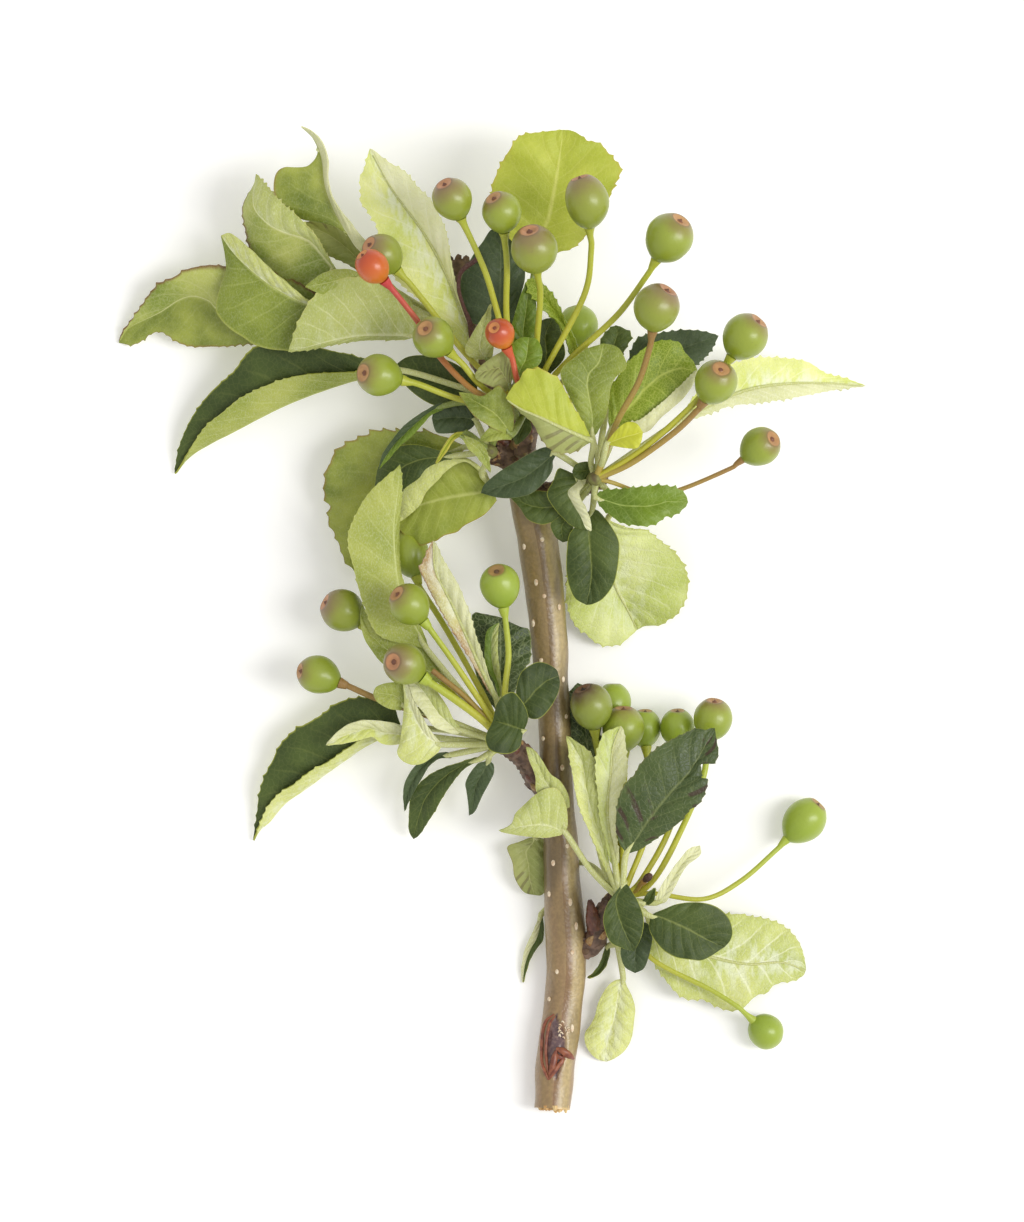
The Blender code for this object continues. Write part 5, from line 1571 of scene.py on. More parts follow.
LOWER_DARK_LEAVES = (
    Blade(
        "large_damaged", (19.8, 22, 20),
        "12.6,36 11.8,37.5 11.2,39.5 11,42 11.2,45 11.8,47.5 13,49.8 14.8,51.5 15.5,53 17,54.8 19,56.5 "
        "20.5,57.5 23,58.8 25,59.7 27,60.5 28.5,60.2 30.6,60.6",
        "14.3,35.6 15.5,36.3 17.3,37.5 19.5,39 21.5,40.3 24,42.3 25.5,44.3 27.3,45.5 28.5,47.5 29.2,50.3 "
        "27.8,50.8 28,51.7 27.8,53.3 28.8,53.5 30.5,53.7 31.3,55.5 31,58 30.6,60.6",
        Finish.DAMAGED, tooth=0.3, rib="13,35.5 15,38.5 18,43 22,48 26,52.5 30.6,60.6", via="12.5,30.6,19",
    ),
    Blade(
        "drooping_dark", (19, 19.4, 17.6),
        "13.3,29.8 14,28.5 15.5,26 16.5,23 16.3,20 15.5,17.8 14.6,16.2",
        "12.6,30 10.5,27.5 9,25 8.5,22.5 9,20 10,18 12,17 14.6,16.2",
        Finish.DARK, rib="12.8,30 11,26.5 12,22 14.6,16.2",
    ),
    Blade(
        "round_dark", (17.2, 17.6, 15.6),
        "18,23.6 20.5,24.6 23,25.6 26,26 29,25.8 31.5,24.8 33.5,22.8 34.2,20.3 33.8,18.4 32.6,17",
        "17.6,22.6 17.7,20.5 18.7,18.5 20.5,16.4 23,15 25.6,14.6 28,14.4 30,15.3 31.5,16.3 32.6,17",
        Finish.DARK, rib="17.8,23.2 19.5,23.2 25,20.8 29,18.6 32.6,17",
    ),
)

LOWER_PALE_LEAVES = (
    Blade(
        "standing_left", (14, 15.8, 15.4),
        "9.5,31 8,35 6,39.5 4.5,43 3.2,47 2.5,51 1.8,55 1.2,59",
        "10,32.5 9.4,36 9,40 8,45 7.2,50 6.6,54.5 5,56.5 3,58 1.2,59",
        Finish.UNDER_GREEN, Finish.MID, left_rise=1.6, right_rise=1, left_face=Finish.UNDER, tooth=0.3,
    ),
    Blade(
        "standing_right", (14.4, 17, 17.6),
        "10,33 9,38 7.8,43 7.5,47 7,52 7.3,56 8,58 8.8,59.7 10.5,60.4 12,61",
        "11.8,33 11.5,36 11,39 11,43 11.5,46.5 12.3,49 13,50.5 13.3,52.5 13,56 12.7,59.5 12,61",
        Finish.UNDER_LIGHT, Finish.MID, left_rise=0.8, right_rise=1.4, right_face=Finish.UNDER_WHITE,
        tooth=0.3, ribbed=Finish.PETIOLE,
    ),
    Blade(
        "folded_over_stem", (14.6, 15.8, 14.8),
        "0.6,39.3 -1,39 -3,38.7 -6,38.9 -9,39.3 -11.5,39.8 -12.3,40.2",
        "1.4,40 1.5,42 1.3,44.5 0.5,47 -0.8,48.6 -3,48.5 -5,47.3 -7,45.5 -9,43.5 -9.4,42 -10.6,40.9 "
        "-12.3,40.2",
        Finish.UNDER_GREEN, Finish.MID, left_rise=-0.6, right_rise=0.6, rib="1,39.8 -3,41.2 -7,41 -12.3,40.2",
        via="6,32.4,14.2",
    ),
    Blade(
        "folded_strip", (14.8, 15.2, 15.8),
        "-0.8,44 -3,46.5 -4.8,48 -5,51 -6.3,54.5 -6.8,56.8",
        "1.4,44.3 1.9,45 1.5,47.5 0,50 -2,51.5 -3.5,54 -5.2,56.2 -6.8,56.8",
        Finish.UNDER_GREEN, veins=5, start=(0.8, 40.6, 14.8),
    ),
    Blade(
        "behind_stem_curl", (4.2, 4.2, 2.4),
        "-4,38.4 -3.3,38.2 -3,35 -3,31 -3,28 -3.8,27 -5,27",
        "-5.5,38.5 -6,38.6 -8,37.8 -10.3,37 -10.5,36 -9.5,33.5 -9.2,31 -8.3,29 -7,27.5 -5,27",
        Finish.OLIVE, via="9.6,28.8,13.4 8,31.6,9 4.9,33.5,3 0,33.6,1.3",
    ),
    Blade(
        "low_narrow", (2, 1.4, 0.8),
        "-3.5,23 -3.2,20.5 -3.4,18 -4.5,16.5 -6,14 -7.1,10.5 -7.4,9.4",
        "-4.3,23 -4.5,22 -5.3,20 -6.5,17.5 -7.3,15 -7.7,12 -7.4,9.4",
        Finish.DARK, right_face=Finish.UNDER_WHITE, veins=5, start=(-1.6, 34.6, 1.6),
        via="-1.2,29,1.2 -2.2,25,1.3",
    ),
    Blade(
        "under_droop", (12.6, 12.2, 10.8),
        "16,22 17.5,21.5 18.3,19 18,16.5 17.3,14 16.5,12.5 14.9,11.7",
        "14.8,21.5 13,19 12,16.5 12.2,14.5 13,12.8 14.9,11.7",
        Finish.BLUE_DARK, veins=5,
    ),
    Blade(
        "veined_underside", (6.9, 3.8, 0.9),
        "18.6,20.2 24,22.5 29,23.2 33,23.2 35.5,23.3 38,22.8 41,22.3 44,21.2 46.5,19.2 48,17 48.8,14.5 "
        "49.2,12",
        "18.2,19 17.6,16.5 18.3,14.5 19.8,12 22,9 23.5,7.5 25.5,6.3 28.5,6.3 31,5 34,4 36.5,4.5 37.7,5.7 "
        "39.5,7.1 41.5,7.6 42.3,8.7 44,9.6 46,9.8 48.3,10.7 49.2,12",
        Finish.UNDER_VEINED, Finish.MID, ribbed=Finish.PETIOLE, veins=8, tooth=0.5,
        via="14.8,25.2,13.4 17.2,23.4,10.4",
    ),
    Blade(
        "fuzzy_slim", (15, 15.6, 14.6),
        "18.6,26 19.5,28 20.5,30 23,33.5 25.5,36.5 27.7,37.2",
        "19.6,25.6 21,26 22.5,28.5 25,33 27.8,35.3 27.8,37.1",
        Finish.UNDER_WHITE, veins=5,
    ),
    Blade(
        "spoon_shaped", (3.6, 2, 0.8),
        "13,10.3 13.3,9 14.3,7 15,4.5 14.8,2 14.3,-1.5 13,-4 11,-5.6 9.3,-6.3",
        "12.2,10.4 10.5,9.8 9,8.2 7.6,5.5 7,3 6,1 5,-0.5 5,-2.5 6,-4.5 7.5,-5.8 9.3,-6.3",
        Finish.UNDER, Finish.MID, quilt=0.06, veins=4, via="10.8,21.6,12 11.6,16.4,7.4",
    ),
    Blade(
        "low_sliver", (5.4, 3.6, 2.2),
        "9.9,17 9.9,15.5 9.2,13 7.6,11.1 5.4,10.4",
        "9,17 8.4,14.6 7.4,12.6 6.4,11.2 5.4,10.4",
        Finish.DARK, veins=4, start=(11.4, 17.4, 7.8),
    ),
    Blade(
        "small_piece", (15.4, 15.6, 15.6),
        "16.2,26 16.8,27 17.5,28 18.9,28.8",
        "17.4,25.2 18.4,26 18.8,26.8 18.9,28.8",
        Finish.DARK, veins=3,
    ),
    Blade(
        "behind_stem_netted", (8.8, 7.6, 7),
        "5,51 3,56 1.5,62 1.6,67 3.5,69.5",
        "7,51 7.8,56 8,62 6.8,67 3.5,69.5",
        Finish.NETTED, tooth=0.3, via="8.6,33,12.4 6.8,42,11",
    ),
)


# ---------------------------------------------------------------- fruit, spray by spray

CROWN_FRUIT = (
    Fruit(
        (-21.4, 165, 38.5), 3.9, 4.2, "-9.6,132,27 -12,141,28.6 -15,151,33", Finish.FRUIT_BLUSHED,
        calyx=(-1.6, 2.9),
    ),
    Fruit((-11.6, 162.4, 39), 3.9, 4.1, "-8.4,132,27 -10.6,141,28.6 -10.6,152,34", calyx=(-1.75, 2.8)),
    Fruit(
        (-5.2, 155, 41), 4.6, 4.9, "-5.2,131,27 -4.6,138,28.6 -4,146,33", Finish.FRUIT_BLUSHED,
        calyx=(-1.05, 3.65),
    ),
    Fruit(
        (5.2, 164.4, 40), 4.3, 5.4, "-3,131.6,27.4 4.6,146,30.6 6,155,34", Finish.FRUIT_BLUSHED,
        calyx=(-1.4, 4.2),
    ),
    Fruit((21.4, 157.4, 37), 4.7, 4.9, "0.8,132.6,27.6 11,142,31 17,150,34.4", calyx=(2.35, 3.5)),
    Fruit((-25.2, 137.8, 33.4), 4, 4.2, "-14.6,127.4,27.6 -19.4,132.6,30.2", calyx=(-1.65, 1.8)),
    Fruit((-36, 130.4, 29.8), 4.2, 4.4, "-18.8,125.4,27 -28,128.6,28.8", calyx=(-3.1, 0.4)),
    Fruit(
        (-35.4, 154.4, 26.6), 4, 4.2, "-12.6,128.8,24.9 -18.8,134.8,24 -29,147.6,24.8", Finish.FRUIT_BLUSHED,
        calyx=(-2.65, 2),
    ),
    Fruit((3.6, 140.6, 17.4), 3.9, 4.1, "0.4,124.6,23.6 5,129,20 4.8,134.4,18", Finish.FRUIT_CLEAN),
)

CROWN_RED_FRUITLETS = (
    Fruit(
        (-37.2, 151.8, 33.6), 3.2, 3.6,
        "-11,125.2,28.8 -16.8,127.1,28.8 -23.8,134,27 -28.2,141,27.8 -33,147,31", Finish.FRUITLET,
        Finish.PEDICEL_RED,
    ),
    Fruit(
        (-12, 138.6, 35.6), 2.9, 3.1, "-7.2,126.4,30 -8.6,129.4,32.6 -9.5,133.4,33.6", Finish.FRUITLET,
        Finish.PEDICEL_ORANGE, calyx=(-1.15, 1),
    ),
)

RIGHT_FRUIT = (
    Fruit(
        (18.8, 143.6, 40), 4.5, 4.7, "11,120.8,31.6 15.4,129,34 17.6,136,36.4", Finish.FRUIT_BLUSHED,
        Finish.PEDICEL_BROWN, calyx=(2.35, 3.5),
    ),
    Fruit((36.4, 138, 35.4), 4.4, 4.6, "16,115.6,31 26,124.4,33 32,131.6,34.2", calyx=(2.8, 3.1)),
    Fruit(
        (30.6, 129, 37), 4.2, 4.4, "14,113,30.6 22.4,119,32.6 27.2,123.6,34.4", Finish.FRUIT,
        Finish.PEDICEL_BROWN, calyx=(1, 2.5),
    ),
    Fruit(
        (39.6, 116.4, 25.6), 3.8, 4.1, "10.2,109.2,28 13,108.2,26.2 18,106.4,25.2 25,108.3,25 33.6,112,25",
        Finish.FRUIT, Finish.PEDICEL_BROWN, 0.45, calyx=(2.5, 1.5),
    ),
)

MIDDLE_FRUIT = (
    Fruit(
        (-30, 85.2, 25.6), 4, 4.2, "-14,63,22.8 -20.4,72.6,23.6 -25.8,80.2,24.8", Finish.FRUIT,
        Finish.PEDICEL_GREEN, calyx=(-2.5, 2.15),
    ),
    Fruit(
        (-31, 73.4, 25.4), 4.1, 4.3, "-15,61.8,22.9 -21,66.4,23.8 -25.8,69.6,24.6", Finish.FRUIT_BLUSHED,
        Finish.PEDICEL_GREEN, 0.8, calyx=(-2.25, 0.4),
    ),
    Fruit(
        (-12, 89, 21), 4, 4.3, "-11,67.6,22 -10.3,75,21.5 -10.9,82,21", Finish.FRUIT_CLEAN,
        Finish.PEDICEL_GREEN, calyx=(-0.75, 2.9),
    ),
)

MIDDLE_LOW_FRUIT = (
    Fruit(
        (-48.2, 71.2, 12.4), 3.8, 4.3, "-17.6,60,17.2 -24,62.2,16.2 -36,66.2,14.6 -42,68.8,13.2",
        Finish.FRUIT, Finish.PEDICEL_BROWN, calyx=(-3.5, 0.65),
    ),
    Fruit((-30.2, 95.6, 10.6), 4, 5, "-15,66.5,17.4 -22.8,80.4,15.4 -28,88.6,12.4"),
    Fruit(
        (-43.4, 84, 12), 4.2, 4.3, "-16.5,63.5,16.6 -24,70,14 -33,76,12.6 -38,80,12.2", Finish.FRUIT_BLUSHED,
        calyx=(-3.7, 1.7),
    ),
)

LOWER_FRUIT = (
    Fruit((6.2, 65, 14), 4.2, 4.5, "11.4,32,11 9.4,46,10.8 7.2,57,12", Finish.FRUIT_BROWN, calyx=(-1.8, 3.5)),
    Fruit((10.6, 65.6, 4.4), 3.6, 3.9, "12,32,10.6 11.2,46,8 10.8,57,5.6", Finish.FRUIT_CLEAN),
    Fruit((12.6, 60.6, 11), 4.2, 4.4, "12.4,32,11.2 12.6,44,10.8 12.8,53,10.8", calyx=(0, 4.1)),
    Fruit(
        (16.8, 60.6, 4.6), 3.4, 3.7, "14,31,11.4 17.2,40,10 17.6,52,6.4", Finish.FRUIT_CLEAN,
        calyx=(0.2, 3.35),
    ),
    Fruit((23.4, 60.6, 7), 3.5, 3.8, "16,30,11.2 22,41,10.4 23.6,52,8.4", Finish.FRUIT_CLEAN, calyx=(0, 3.4)),
    Fruit(
        (30.4, 62.4, 12), 3.9, 4.1, "17.4,29,11.6 22,36,12.4 28,49.4,13", Finish.FRUIT, Finish.PEDICEL_GREEN,
        calyx=(0.35, 3.7),
    ),
    Fruit(
        (48.8, 42, 4.4), 4.1, 4.8, "18,27.6,11.3 28.4,26.4,9.6 36,30,7.6 43,36,5.6", Finish.FRUIT_CLEAN,
        Finish.PEDICEL_GREEN, 0.5, calyx=(2.6, 3.1),
    ),
    Fruit(
        (41.1, -0.2, 3.7), 3.5, 3.6, "13.8,21,10.4 18.4,14.4,9.4 29.4,8.6,7.8 35.2,5,7.4", Finish.FRUIT_CLEAN,
        Finish.PEDICEL_GREEN, 0.5, calyx=(2.1, -2.4), hanging=True,
    ),
    Fruit((17.4, 30.8, 14.2), 0.8, 1.2, "14.8,27.8,11.6 16.2,29.6,13", Finish.DRY, Finish.PEDICEL_BROWN, 0.4),
)

EMPTY_STALK = places(
    "-11.6,58.4,22.4,0.6 -14.6,62.4,22.4,0.6 -19.6,67.4,22.6,0.55 -25.4,72,22.4,0.6"
)
DRIED_STALK = places(
    "-17.6,138.2,18.4,0.6 -18,141,20.4,0.5 -19.4,144.6,22,0.45 -20.2,147.8,22.8,0.45 -19.6,151,22.4,0.45 "
    "-16.4,153.6,21.4,0.5"
)


@dataclass(frozen=True)
class Spray:
    """One set of leaves or fruit on a knob at (x, y), which stands for the CAD node of its name."""

    node: str
    slot: str
    x: float
    y: float
    bottom: float
    top: float
    radius: float
    blades: tuple[Blade, ...] = ()
    fruit: tuple[Fruit, ...] = ()
    stalks: tuple[Stalk, ...] = ()

    def knob(self) -> Item:
        """The short knob that its stalks grow from, ringed by the scars of old scales."""
        height = self.top - self.bottom
        route = tuple(
            (self.x, self.y, self.bottom + height * share, self.radius * width)
            for share, width in ((0.02, 0.7), (0.3, 0.75), (0.7, 0.6), (0.98, 0.25))
        )
        return Stalk(route, Finish.SPUR, sides=16, pitch=0.35, knobs=0.15, ring_pitch=1.1,
                     ring_height=0.1).build()

    def build(self) -> Item:
        """Build the spray as one piece, and dress and place it.

        Returns:
            The piece.
        """
        foot = Vector((self.x, self.y, (self.bottom + self.top) / 2))
        made = [self.knob()] if self.blades or self.fruit else []
        for blade in self.blades:
            made += blade.build() + blade.stalk(foot)
        for fruit in self.fruit:
            made += fruit.build(foot)
        made += [stalk.build() for stalk in self.stalks]
        piece = join(made, f"{self.node}_dressed")
        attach(piece, "root")
        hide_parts(self.node)
        return piece


CROWN, TOP, LEFT = (-6.6, 124.0), (-17.6, 138.0), (-14.0, 115.5)
RIGHT, MIDDLE, LOWER = (7.0, 110.0), (-11.0, 57.5), (11.8, 26.5)
SPRAYS = (
    Spray("top_leaves", "pale_leaf", *TOP, 14.5, 17.6, 2.1, TOP_LEAVES),
    Spray("crown_dark_leaves", "dark_leaf", *CROWN, 18.3, 20.8, 2.2, CROWN_DARK_LEAVES),
    Spray("crown_pale_leaves", "pale_leaf", *CROWN, 21.1, 23.6, 2.2, CROWN_PALE_LEAVES),
    Spray("crown_fruit", "green_fruit", *CROWN, 23.9, 26.2, 2.0, fruit=CROWN_FRUIT),
    Spray("crown_red_fruitlets", "red_fruitlet", *CROWN, 26.5, 27.9, 1.5, fruit=CROWN_RED_FRUITLETS),
    Spray("crown_dried_stalk", "dry_stalk", *TOP, 18.0, 19.0, 0.6,
          stalks=(Stalk(DRIED_STALK, Finish.DRY, pitch=0.5, knobs=0.35),)),
    Spray("right_dark_leaves", "dark_leaf", *RIGHT, 20.3, 23.3, 2.2, RIGHT_DARK_LEAVES),
    Spray("right_pale_leaves", "bright_leaf", *RIGHT, 23.6, 27.0, 2.2, RIGHT_PALE_LEAVES),
    Spray("right_fruit", "green_fruit", *RIGHT, 27.3, 29.6, 1.9, fruit=RIGHT_FRUIT),
    Spray("left_broad_leaf", "bright_leaf", *LEFT, 17.5, 19.3, 2.0, LEFT_BROAD_LEAF),
    Spray("left_dark_leaves", "dark_leaf", *LEFT, 19.6, 21.6, 2.0, LEFT_DARK_LEAVES),
    Spray("left_pale_leaves", "pale_leaf", *LEFT, 21.9, 24.0, 1.8, LEFT_PALE_LEAVES),
    Spray("middle_dark_leaves", "dark_leaf", *MIDDLE, 14.3, 16.6, 2.1, MIDDLE_DARK_LEAVES),
    Spray("middle_low_fruit", "green_fruit", *MIDDLE, 16.9, 18.5, 2.0, fruit=MIDDLE_LOW_FRUIT),
    Spray("middle_pale_leaves", "pale_leaf", *MIDDLE, 18.8, 21.0, 2.0, MIDDLE_PALE_LEAVES),
    Spray("middle_fruit", "green_fruit", *MIDDLE, 21.3, 23.3, 1.9, fruit=MIDDLE_FRUIT,
          stalks=(Stalk(EMPTY_STALK, Finish.PEDICEL_BROWN, pitch=0.7, knobs=0.2),)),
    Spray("middle_round_leaves", "dark_leaf", *MIDDLE, 23.6, 25.2, 1.5, MIDDLE_ROUND_LEAVES),
    Spray("lower_fruit", "green_fruit", *LOWER, 9.8, 12.2, 2.0, fruit=LOWER_FRUIT),
    Spray("lower_pale_leaves", "pale_leaf", *LOWER, 12.5, 15.2, 2.1, LOWER_PALE_LEAVES),
    Spray("lower_dark_leaves", "dark_leaf", *LOWER, 15.5, 18.2, 2.1, LOWER_DARK_LEAVES),
)


# ---------------------------------------------------------------- wood


FLAKES = 14
FIBRES = 34
SCALE_RINGS = 8
SCALE_THICKNESS = 0.16
LOWEST_SCALE = 1.2
SCAR_DEPTH = 2.4
CUT_Y = -15.4
LOWEST_FIBRE = 0.7
FARTHEST_FIBRE = -2.4
LEVEL_OFF_STEM = 8.0


@dataclass(frozen=True)
class Scar:
    """The torn bud scar near the cut: a grey hollow between raised red-brown folds."""

    bottom: float = -9.4
    top: float = 3.2
    middle_x: float = -0.9
    left: float = 2.6
    right: float = 2.3
    hollow: float = 0.45
    folds: tuple[tuple[Route, float], ...] = (
        (places("-1.2,3.4 -2.7,2 -3.4,-0.4 -3.7,-3 -3.6,-6 -3,-8 -2.3,-9.7"), 0.42),
        (places("-1,3 -2,1.6 -2.6,-1 -2.9,-4 -2.6,-6.8 -2.1,-9.4"), 0.3),
        (places("-2.3,-9.6 -1.4,-8.2 -0.6,-7 0.3,-6 0.6,-4.8"), 0.5),
        (places("-2.2,-9 -1.6,-7 -1.2,-5.2 -0.8,-3.8"), 0.7),
        (places("-0.8,-3.4 0.6,-3.9 1.8,-4.7 2.7,-5.5"), 0.8),
        (places("-1.4,-4.4 -0.2,-5 1,-5.6"), 0.5),
    )

    def mark(self, x: float, y: float) -> tuple[float, float]:
        """How much of a place on the stem's top is inside the scar, and its height over the bark."""
        share = (y - self.bottom) / (self.top - self.bottom)
        if not 0 < share < 1:
            return 0.0, 0.0
        reach = (self.left if x < self.middle_x else self.right) * math.sin(math.pi * share)
        across = abs(x - self.middle_x) / max(reach, 0.2)
        inside = min(max((1.0 - across) * 5, 0.0), 1.0)
        return inside, 0.3 * noise.noise(Vector((x * 1.6, y * 1.2, 5.0))) * inside - self.hollow * inside


@dataclass(frozen=True)
class Wood:
    """The woody stem with its leader, spurs, buds, scar, lenticels and cut end."""

    stem: Route = places(
        "-1.6,-15.6,4.2,3.6 -1,-8,3.7,3.95 0,0,3.6,3.9 0.8,7,3.6,3.85 1.2,12.2,4.1,4 1.1,19.4,4.7,4 "
        "0.4,30,5.9,3.7 0.1,38,6.5,3.35 -0.7,47.6,7.1,3.3 -1.2,63.8,8.3,3.25 -1.9,70,8.8,3.5 "
        "-2.3,79.6,9.6,3.7 -3.4,90.2,10.6,3.95 -4.6,98,11.3,4 -6.4,106,12.2,3.6 -7.8,113.5,12.9,3.5 "
        "-8.3,118,13.2,3"
    )
    leader: Route = places(
        "-7.8,113,12.8,2.8 -11,123,12.6,2.2 -14.5,131,12.2,2 -17.6,138,12,2.2 -19.2,146,12,1.9 "
        "-20.3,153.8,12.4,2"
    )
    spurs: tuple[Route, ...] = (
        places("-8,114,13.2,2.6 -7,120,15.2,2.4 -6.6,124,16.4,2.3 -6.6,124,18,2.1"),
        places("-7.5,113,13.5,2.3 -12,115,14.6,2.3 -14,115.5,15.6,2.2 -14,115.5,17.2,1.9"),
        places("-5.5,106.5,13,2.4 1,107.8,16,2.2 7,110,18.2,2.2 7,110,20,2"),
        places("-1,47.5,7.4,2 -4.2,49.5,8.8,2.2 -6.2,53.4,10.4,2.2 -8.6,56,11.4,2.1 -11,57.5,12.6,2.1 "
               "-11,57.5,14,1.9"),
        places("3.4,15.6,4.4,1.8 6.6,17.6,5.6,2.1 7.9,21,6.2,2.2 9.4,24,7,2.1 11.8,26.5,8.2,2.1 "
               "11.8,26.5,9.5,2"),
    )
    buds: tuple[Route, ...] = (
        places("6.7,20.4,7.8,1.4 6.5,22.6,8.6,1.35 6.2,24.6,9,0.8 5.9,26.2,9.2,0.25"),
        places("-10.6,117,15,1.3 -12.6,119.2,15.8,1 -14,121,16.2,0.3"),
    )
    lenticels: Route = places(
        "-3.6,98 -7.2,96.6 -4.8,89.6 -3.2,86.8 -0.2,84.6 -5.4,81.4 1.2,62.8 -2.2,27.4 2,25.8 2.4,15.8 "
        "-0.6,12 2.4,0.6 -3.8,74 0.6,70.2 -2.6,66 -3.4,58.4 0.4,52.6 -2.8,43.4 1.4,37 -1.4,33.6 3.2,21 "
        "-2.2,6.4"
    )
    scar: Scar = Scar()
    rest_level: float = 0.02

    def surface(self, x: float, y: float) -> tuple[float, Vector]:
        """Height and slope of the stem's top above a place."""
        for (x0, y0, z0, r0), (x1, y1, z1, r1) in zip(self.stem, self.stem[1:]):
            if y0 <= y <= y1:
                share = (y - y0) / (y1 - y0)
                centre = x0 + (x1 - x0) * share
                radius = r0 + (r1 - r0) * share
                across = max(min(x - centre, radius * 0.95), -radius * 0.95)
                rise = math.sqrt(radius ** 2 - across ** 2)
                return z0 + (z1 - z0) * share + rise, Vector((across, 0, rise)).normalized()
        return LEVEL_OFF_STEM, UP.copy()

    def build_stem(self) -> Item:
        """The stem, with its scar pressed into it and its underside level where it rests."""
        item = Stalk(self.stem, Finish.BARK, sides=64, pitch=0.55, knobs=0.07).build()
        marks = item.data.color_attributes.new(name="bark_marks", type="FLOAT_COLOR", domain="POINT")
        for vert, mark in zip(item.data.vertices, marks.data):
            x, y, z = (value / MM for value in vert.co)
            top, normal = self.surface(x, y)
            inside, height = self.scar.mark(x, y) if z > top - SCAR_DEPTH else (0.0, 0.0)
            mark.color = (inside, 1.0 if y < CUT_Y else 0.0, 0.0, 1.0)
            vert.co += normal * height * MM
            vert.co.z = max(vert.co.z, self.rest_level * MM)
        return item

    def scar_folds(self) -> list[Item]:
        """Raised folds of torn bark round the scar."""
        made = []
        for outline, radius in self.scar.folds:
            last = len(outline) - 1
            route = tuple(
                (x, y, self.surface(x, y)[0] + radius * 0.1, radius * (0.35 if index in (0, last) else 1.0))
                for index, (x, y) in enumerate(outline)
            )
            made.append(Stalk(route, Finish.SCAR, sides=12, pitch=0.35, knobs=0.35).build())
        for index in range(FLAKES):
            angle = index * SPIRAL_TURN
            lean = math.cos(angle * 2)
            x, y = 0.5 + 0.9 * math.cos(angle), (0.3 + 0.13 * index) * math.sin(angle)
            height = self.surface(x, y)[0]
            route = ((x, y, height - 0.1, 0.14), (x + 0.35 * lean, y + 0.4, height + 0.22, 0.16),
                     (x + 0.6 * lean, y + 0.2, height + 0.1, 0.08))
            made.append(Stalk(route, Finish.LENTICEL, sides=6, pitch=0.2, knobs=0.1).build())
        return made

    def cut_end(self) -> list[Item]:
        """Ragged fibres that stand out of the cut."""
        x, y, z, radius = self.stem[0]
        fibres = []
        for index in range(FIBRES):
            angle = index * SPIRAL_TURN
            reach = radius * 0.95 * math.sqrt((index + 0.5) / FIBRES)
            length = 0.15 + 0.95 * abs(noise.noise(Vector((index * 1.3, 0.4, 0.2))))
            side, rise = reach * math.cos(angle), reach * math.sin(angle)
            if z + rise < LOWEST_FIBRE or side < FARTHEST_FIBRE:
                continue
            tip = y - length * (1.5 if side > 0 else 0.5)
            route = ((x + side, y + 0.8, z + rise, 0.62), (x + side, y - 0.1, z + rise, 0.5),
                     (x + side * 1.02, tip, z + rise, 0.16))
            fibres.append(Stalk(route, Finish.FIBRE, sides=6, pitch=0.5).build())
        return fibres

    def spots(self) -> list[Item]:
        """Pale corky lenticels on the stem."""
        made = []
        for index, (x, y) in enumerate(self.lenticels):
            height, normal = self.surface(x, y)
            spot = add(bpy.ops.mesh.primitive_ico_sphere_add, subdivisions=2, radius=1.0)
            side = Vector((0, 1, 0)).cross(normal)
            length = 0.5 + 0.16 * (index % 3)
            for vert in spot.data.vertices:
                raised = normal * vert.co.z * 0.24 + side * vert.co.x * 0.44
                vert.co = (Vector((x, y + vert.co.y * length, height)) + raised) * MM
            spot.data.materials.append(Finish.LENTICEL.material())
            made.append(spot)
        return made

    def scales(self) -> list[Item]:
        """Small dry scales round each spur and bud, in overlapping rings."""
        made = []
        mix = (Finish.SCALE, Finish.TAN, Finish.OLD_WOOD, Finish.BUD, Finish.OLD_WOOD)
        for route in (*self.spurs, self.leader[2:5], *self.buds):
            bud = route in self.buds
            around = 3 if bud else 5
            stops = spline_points([Vector(place) for place in route], SCALE_RINGS + 1)
            for index in range(1, SCALE_RINGS):
                ahead = (stops[index + 1].xyz - stops[index - 1].xyz).normalized()
                first = ahead.orthogonal().normalized()
                for turn in range(around):
                    angle = math.tau * (turn / around + index * 0.19)
                    outward = Quaternion(ahead, angle) @ first
                    base = stops[index].xyz + outward * stops[index].w * 0.92
                    if base.z < LOWEST_SCALE:
                        continue
                    length = (1.5 if bud else 1.3) * (0.8 + 0.4 * abs(math.sin(index * 3 + turn)))
                    end = stops[min(index + 2, SCALE_RINGS)]
                    tip = end.xyz + outward * end.w * 0.95 if bud else base + ahead * length + outward * 0.35
                    width = stops[index].w * (0.62 if bud else 0.42)
                    finish = Finish.BUD if bud else mix[(index * 5 + turn * 3) % len(mix)]
                    made.append(self.scale(base - ahead * 0.5, tip, outward, width, finish))
        return made

    def scale(self, base: Vector, tip: Vector, outward: Vector, width: float,
              finish: Finish) -> Item:
        """One scale: a curved pointed shell.

        Args:
            base: its foot.
            tip: its point.
            outward: the way it faces.
            width: half its width at the foot.
            finish: its finish.

        Returns:
            The scale.
        """
        item = add_grid(4, 4)
        ahead = tip - base
        sideways = ahead.normalized().cross(outward)
        for vert in item.data.vertices:
            t, side = (vert.co.x + 1) / 2, vert.co.y
            across = side * width * (1 - t ** 1.6) * (0.8 + 0.2 * math.sin(math.pi * t))
            bow = outward * (0.18 * math.sin(math.pi * t) - 0.35 * width * side ** 2)
            vert.co = (base + ahead * t + sideways * across + bow) * MM
        close_surface(recalculate=False)
        give_wall(item, SCALE_THICKNESS)
        item.data.materials.append(finish.material())
        return item

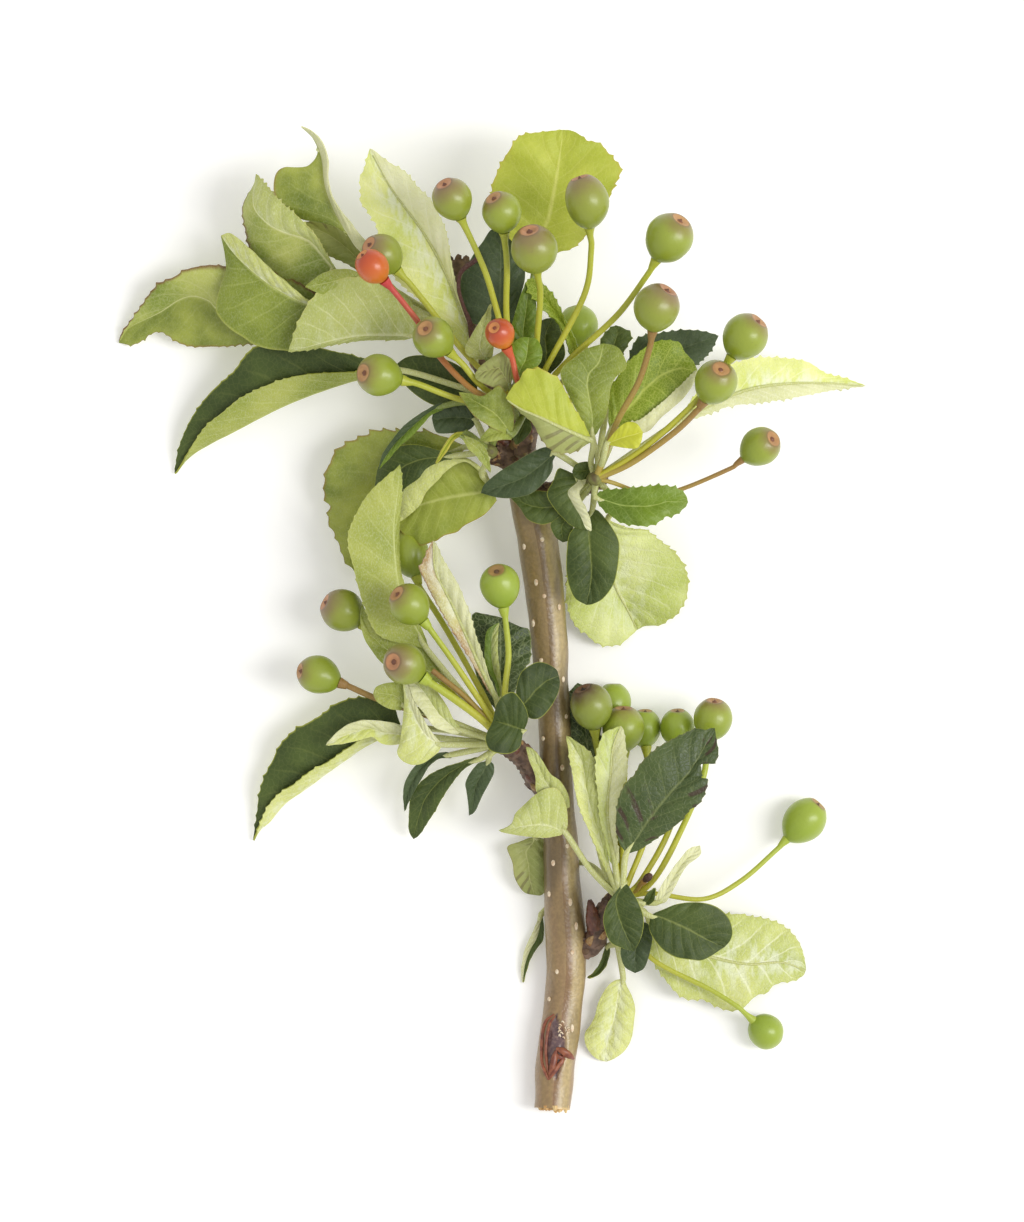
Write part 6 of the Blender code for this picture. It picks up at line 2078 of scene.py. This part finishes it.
    def torn_stub(self) -> list[Item]:
        """The torn end of the leader: a few jagged splinters."""
        x, y, z, radius = self.leader[-1]
        made = []
        for side, length in ((-0.8, 0.5), (0.0, 0.9), (0.8, 0.6)):
            foot = x + side * radius
            route = ((foot, y - 2, z, 0.8), (foot, y, z + 0.6, 0.8),
                     (foot + 0.3, y + length, z + 0.7, 0.45))
            made.append(Stalk(route, Finish.SCALE, sides=6, pitch=0.5).build())
        return made

    def build(self) -> Item:
        """Build the wood as one piece, and dress and place it.

        Returns:
            The piece.
        """
        made = [self.build_stem()]
        made.append(Stalk(self.leader, Finish.OLD_WOOD, sides=28, pitch=0.6, knobs=0.14, ring_pitch=5.0,
                          ring_height=0.12).build())
        for route in self.spurs:
            made.append(Stalk(route, Finish.OLD_WOOD, sides=28, pitch=0.4, knobs=0.2, ring_pitch=1.5,
                              ring_height=0.14).build())
        for route in self.buds:
            made.append(Stalk(route, Finish.BUD, sides=16, pitch=0.4, knobs=0.1).build())
        made += self.scar_folds() + self.cut_end() + self.spots() + self.scales() + self.torn_stub()
        piece = join(made, "branch_wood_dressed")
        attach(piece, "root")
        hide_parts("branch_wood")
        return piece


# ---------------------------------------------------------------- floor, light and camera


@dataclass(frozen=True)
class Studio:
    """The pale floor, the soft light and the camera straight above."""

    middle: tuple[float, float] = (-9.6, 83.8)
    camera_height: float = 2400.0
    frame_height: float = 244.4
    sensor: float = 36.0
    floor_size: float = 8.0
    floor_colour: str = "#F6F5F3"
    floor_glow: float = 0.15
    key_place: Place = (2100.0, -60.0, 2500.0)
    key_size: tuple[float, float] = (1.0, 2.2)
    key_power: float = 68.0
    sky: float = 0.78

    def build_floor(self) -> Item:
        """The floor that the branch lies on."""
        floor = add(bpy.ops.mesh.primitive_plane_add, size=self.floor_size)
        floor.name = "floor"
        material, _, shader = new_material("floor_white")
        shader.inputs["Base Color"].default_value = tint(self.floor_colour)
        shader.inputs["Roughness"].default_value = 0.9
        shader.inputs["Specular IOR Level"].default_value = 0.1
        shader.inputs["Emission Color"].default_value = tint(self.floor_colour)
        shader.inputs["Emission Strength"].default_value = self.floor_glow
        floor.data.materials.append(material)
        return floor

    def build_light(self) -> None:
        """A tall soft light at the right, and an even pale sky."""
        target = Vector((*self.middle, 10.0))
        place = Vector(self.key_place)
        turn = (place - target).to_track_quat("Z", "Y").to_euler()
        bpy.ops.object.light_add(type="AREA", location=tuple(place * MM), rotation=tuple(turn))
        key = bpy.context.active_object
        key.name = "soft_light"
        key.data.shape = "RECTANGLE"
        key.data.size, key.data.size_y = self.key_size
        key.data.energy = self.key_power
        world = bpy.data.worlds.new("studio")
        world.use_nodes = True
        sky = world.node_tree.nodes["Background"]
        sky.inputs["Color"].default_value = (1.0, 1.0, 1.0, 1.0)
        sky.inputs["Strength"].default_value = self.sky
        bpy.context.scene.world = world

    def build_camera(self) -> None:
        """The camera, which looks straight down with +Y up in the picture."""
        x, y = self.middle
        bpy.ops.object.camera_add(location=(x * MM, y * MM, self.camera_height * MM), rotation=(0, 0, 0))
        camera = bpy.context.active_object
        camera.name = "camera"
        camera.data.sensor_width = self.sensor
        camera.data.sensor_fit = "AUTO"
        camera.data.lens = self.sensor * self.camera_height / self.frame_height
        bpy.context.scene.camera = camera
        bpy.context.scene.view_settings.view_transform = "Standard"


def main() -> None:
    """Build the branch piece by piece, then the studio."""
    logging.basicConfig(level=logging.INFO, format="%(name)s: %(message)s")
    for assembly in (Wood(), *SPRAYS):
        piece = assembly.build()
        LOG.info("%s: %d faces", piece.name, len(piece.data.polygons))
    studio = Studio()
    studio.build_floor()
    studio.build_light()
    studio.build_camera()


if __name__ == "__main__":
    main()
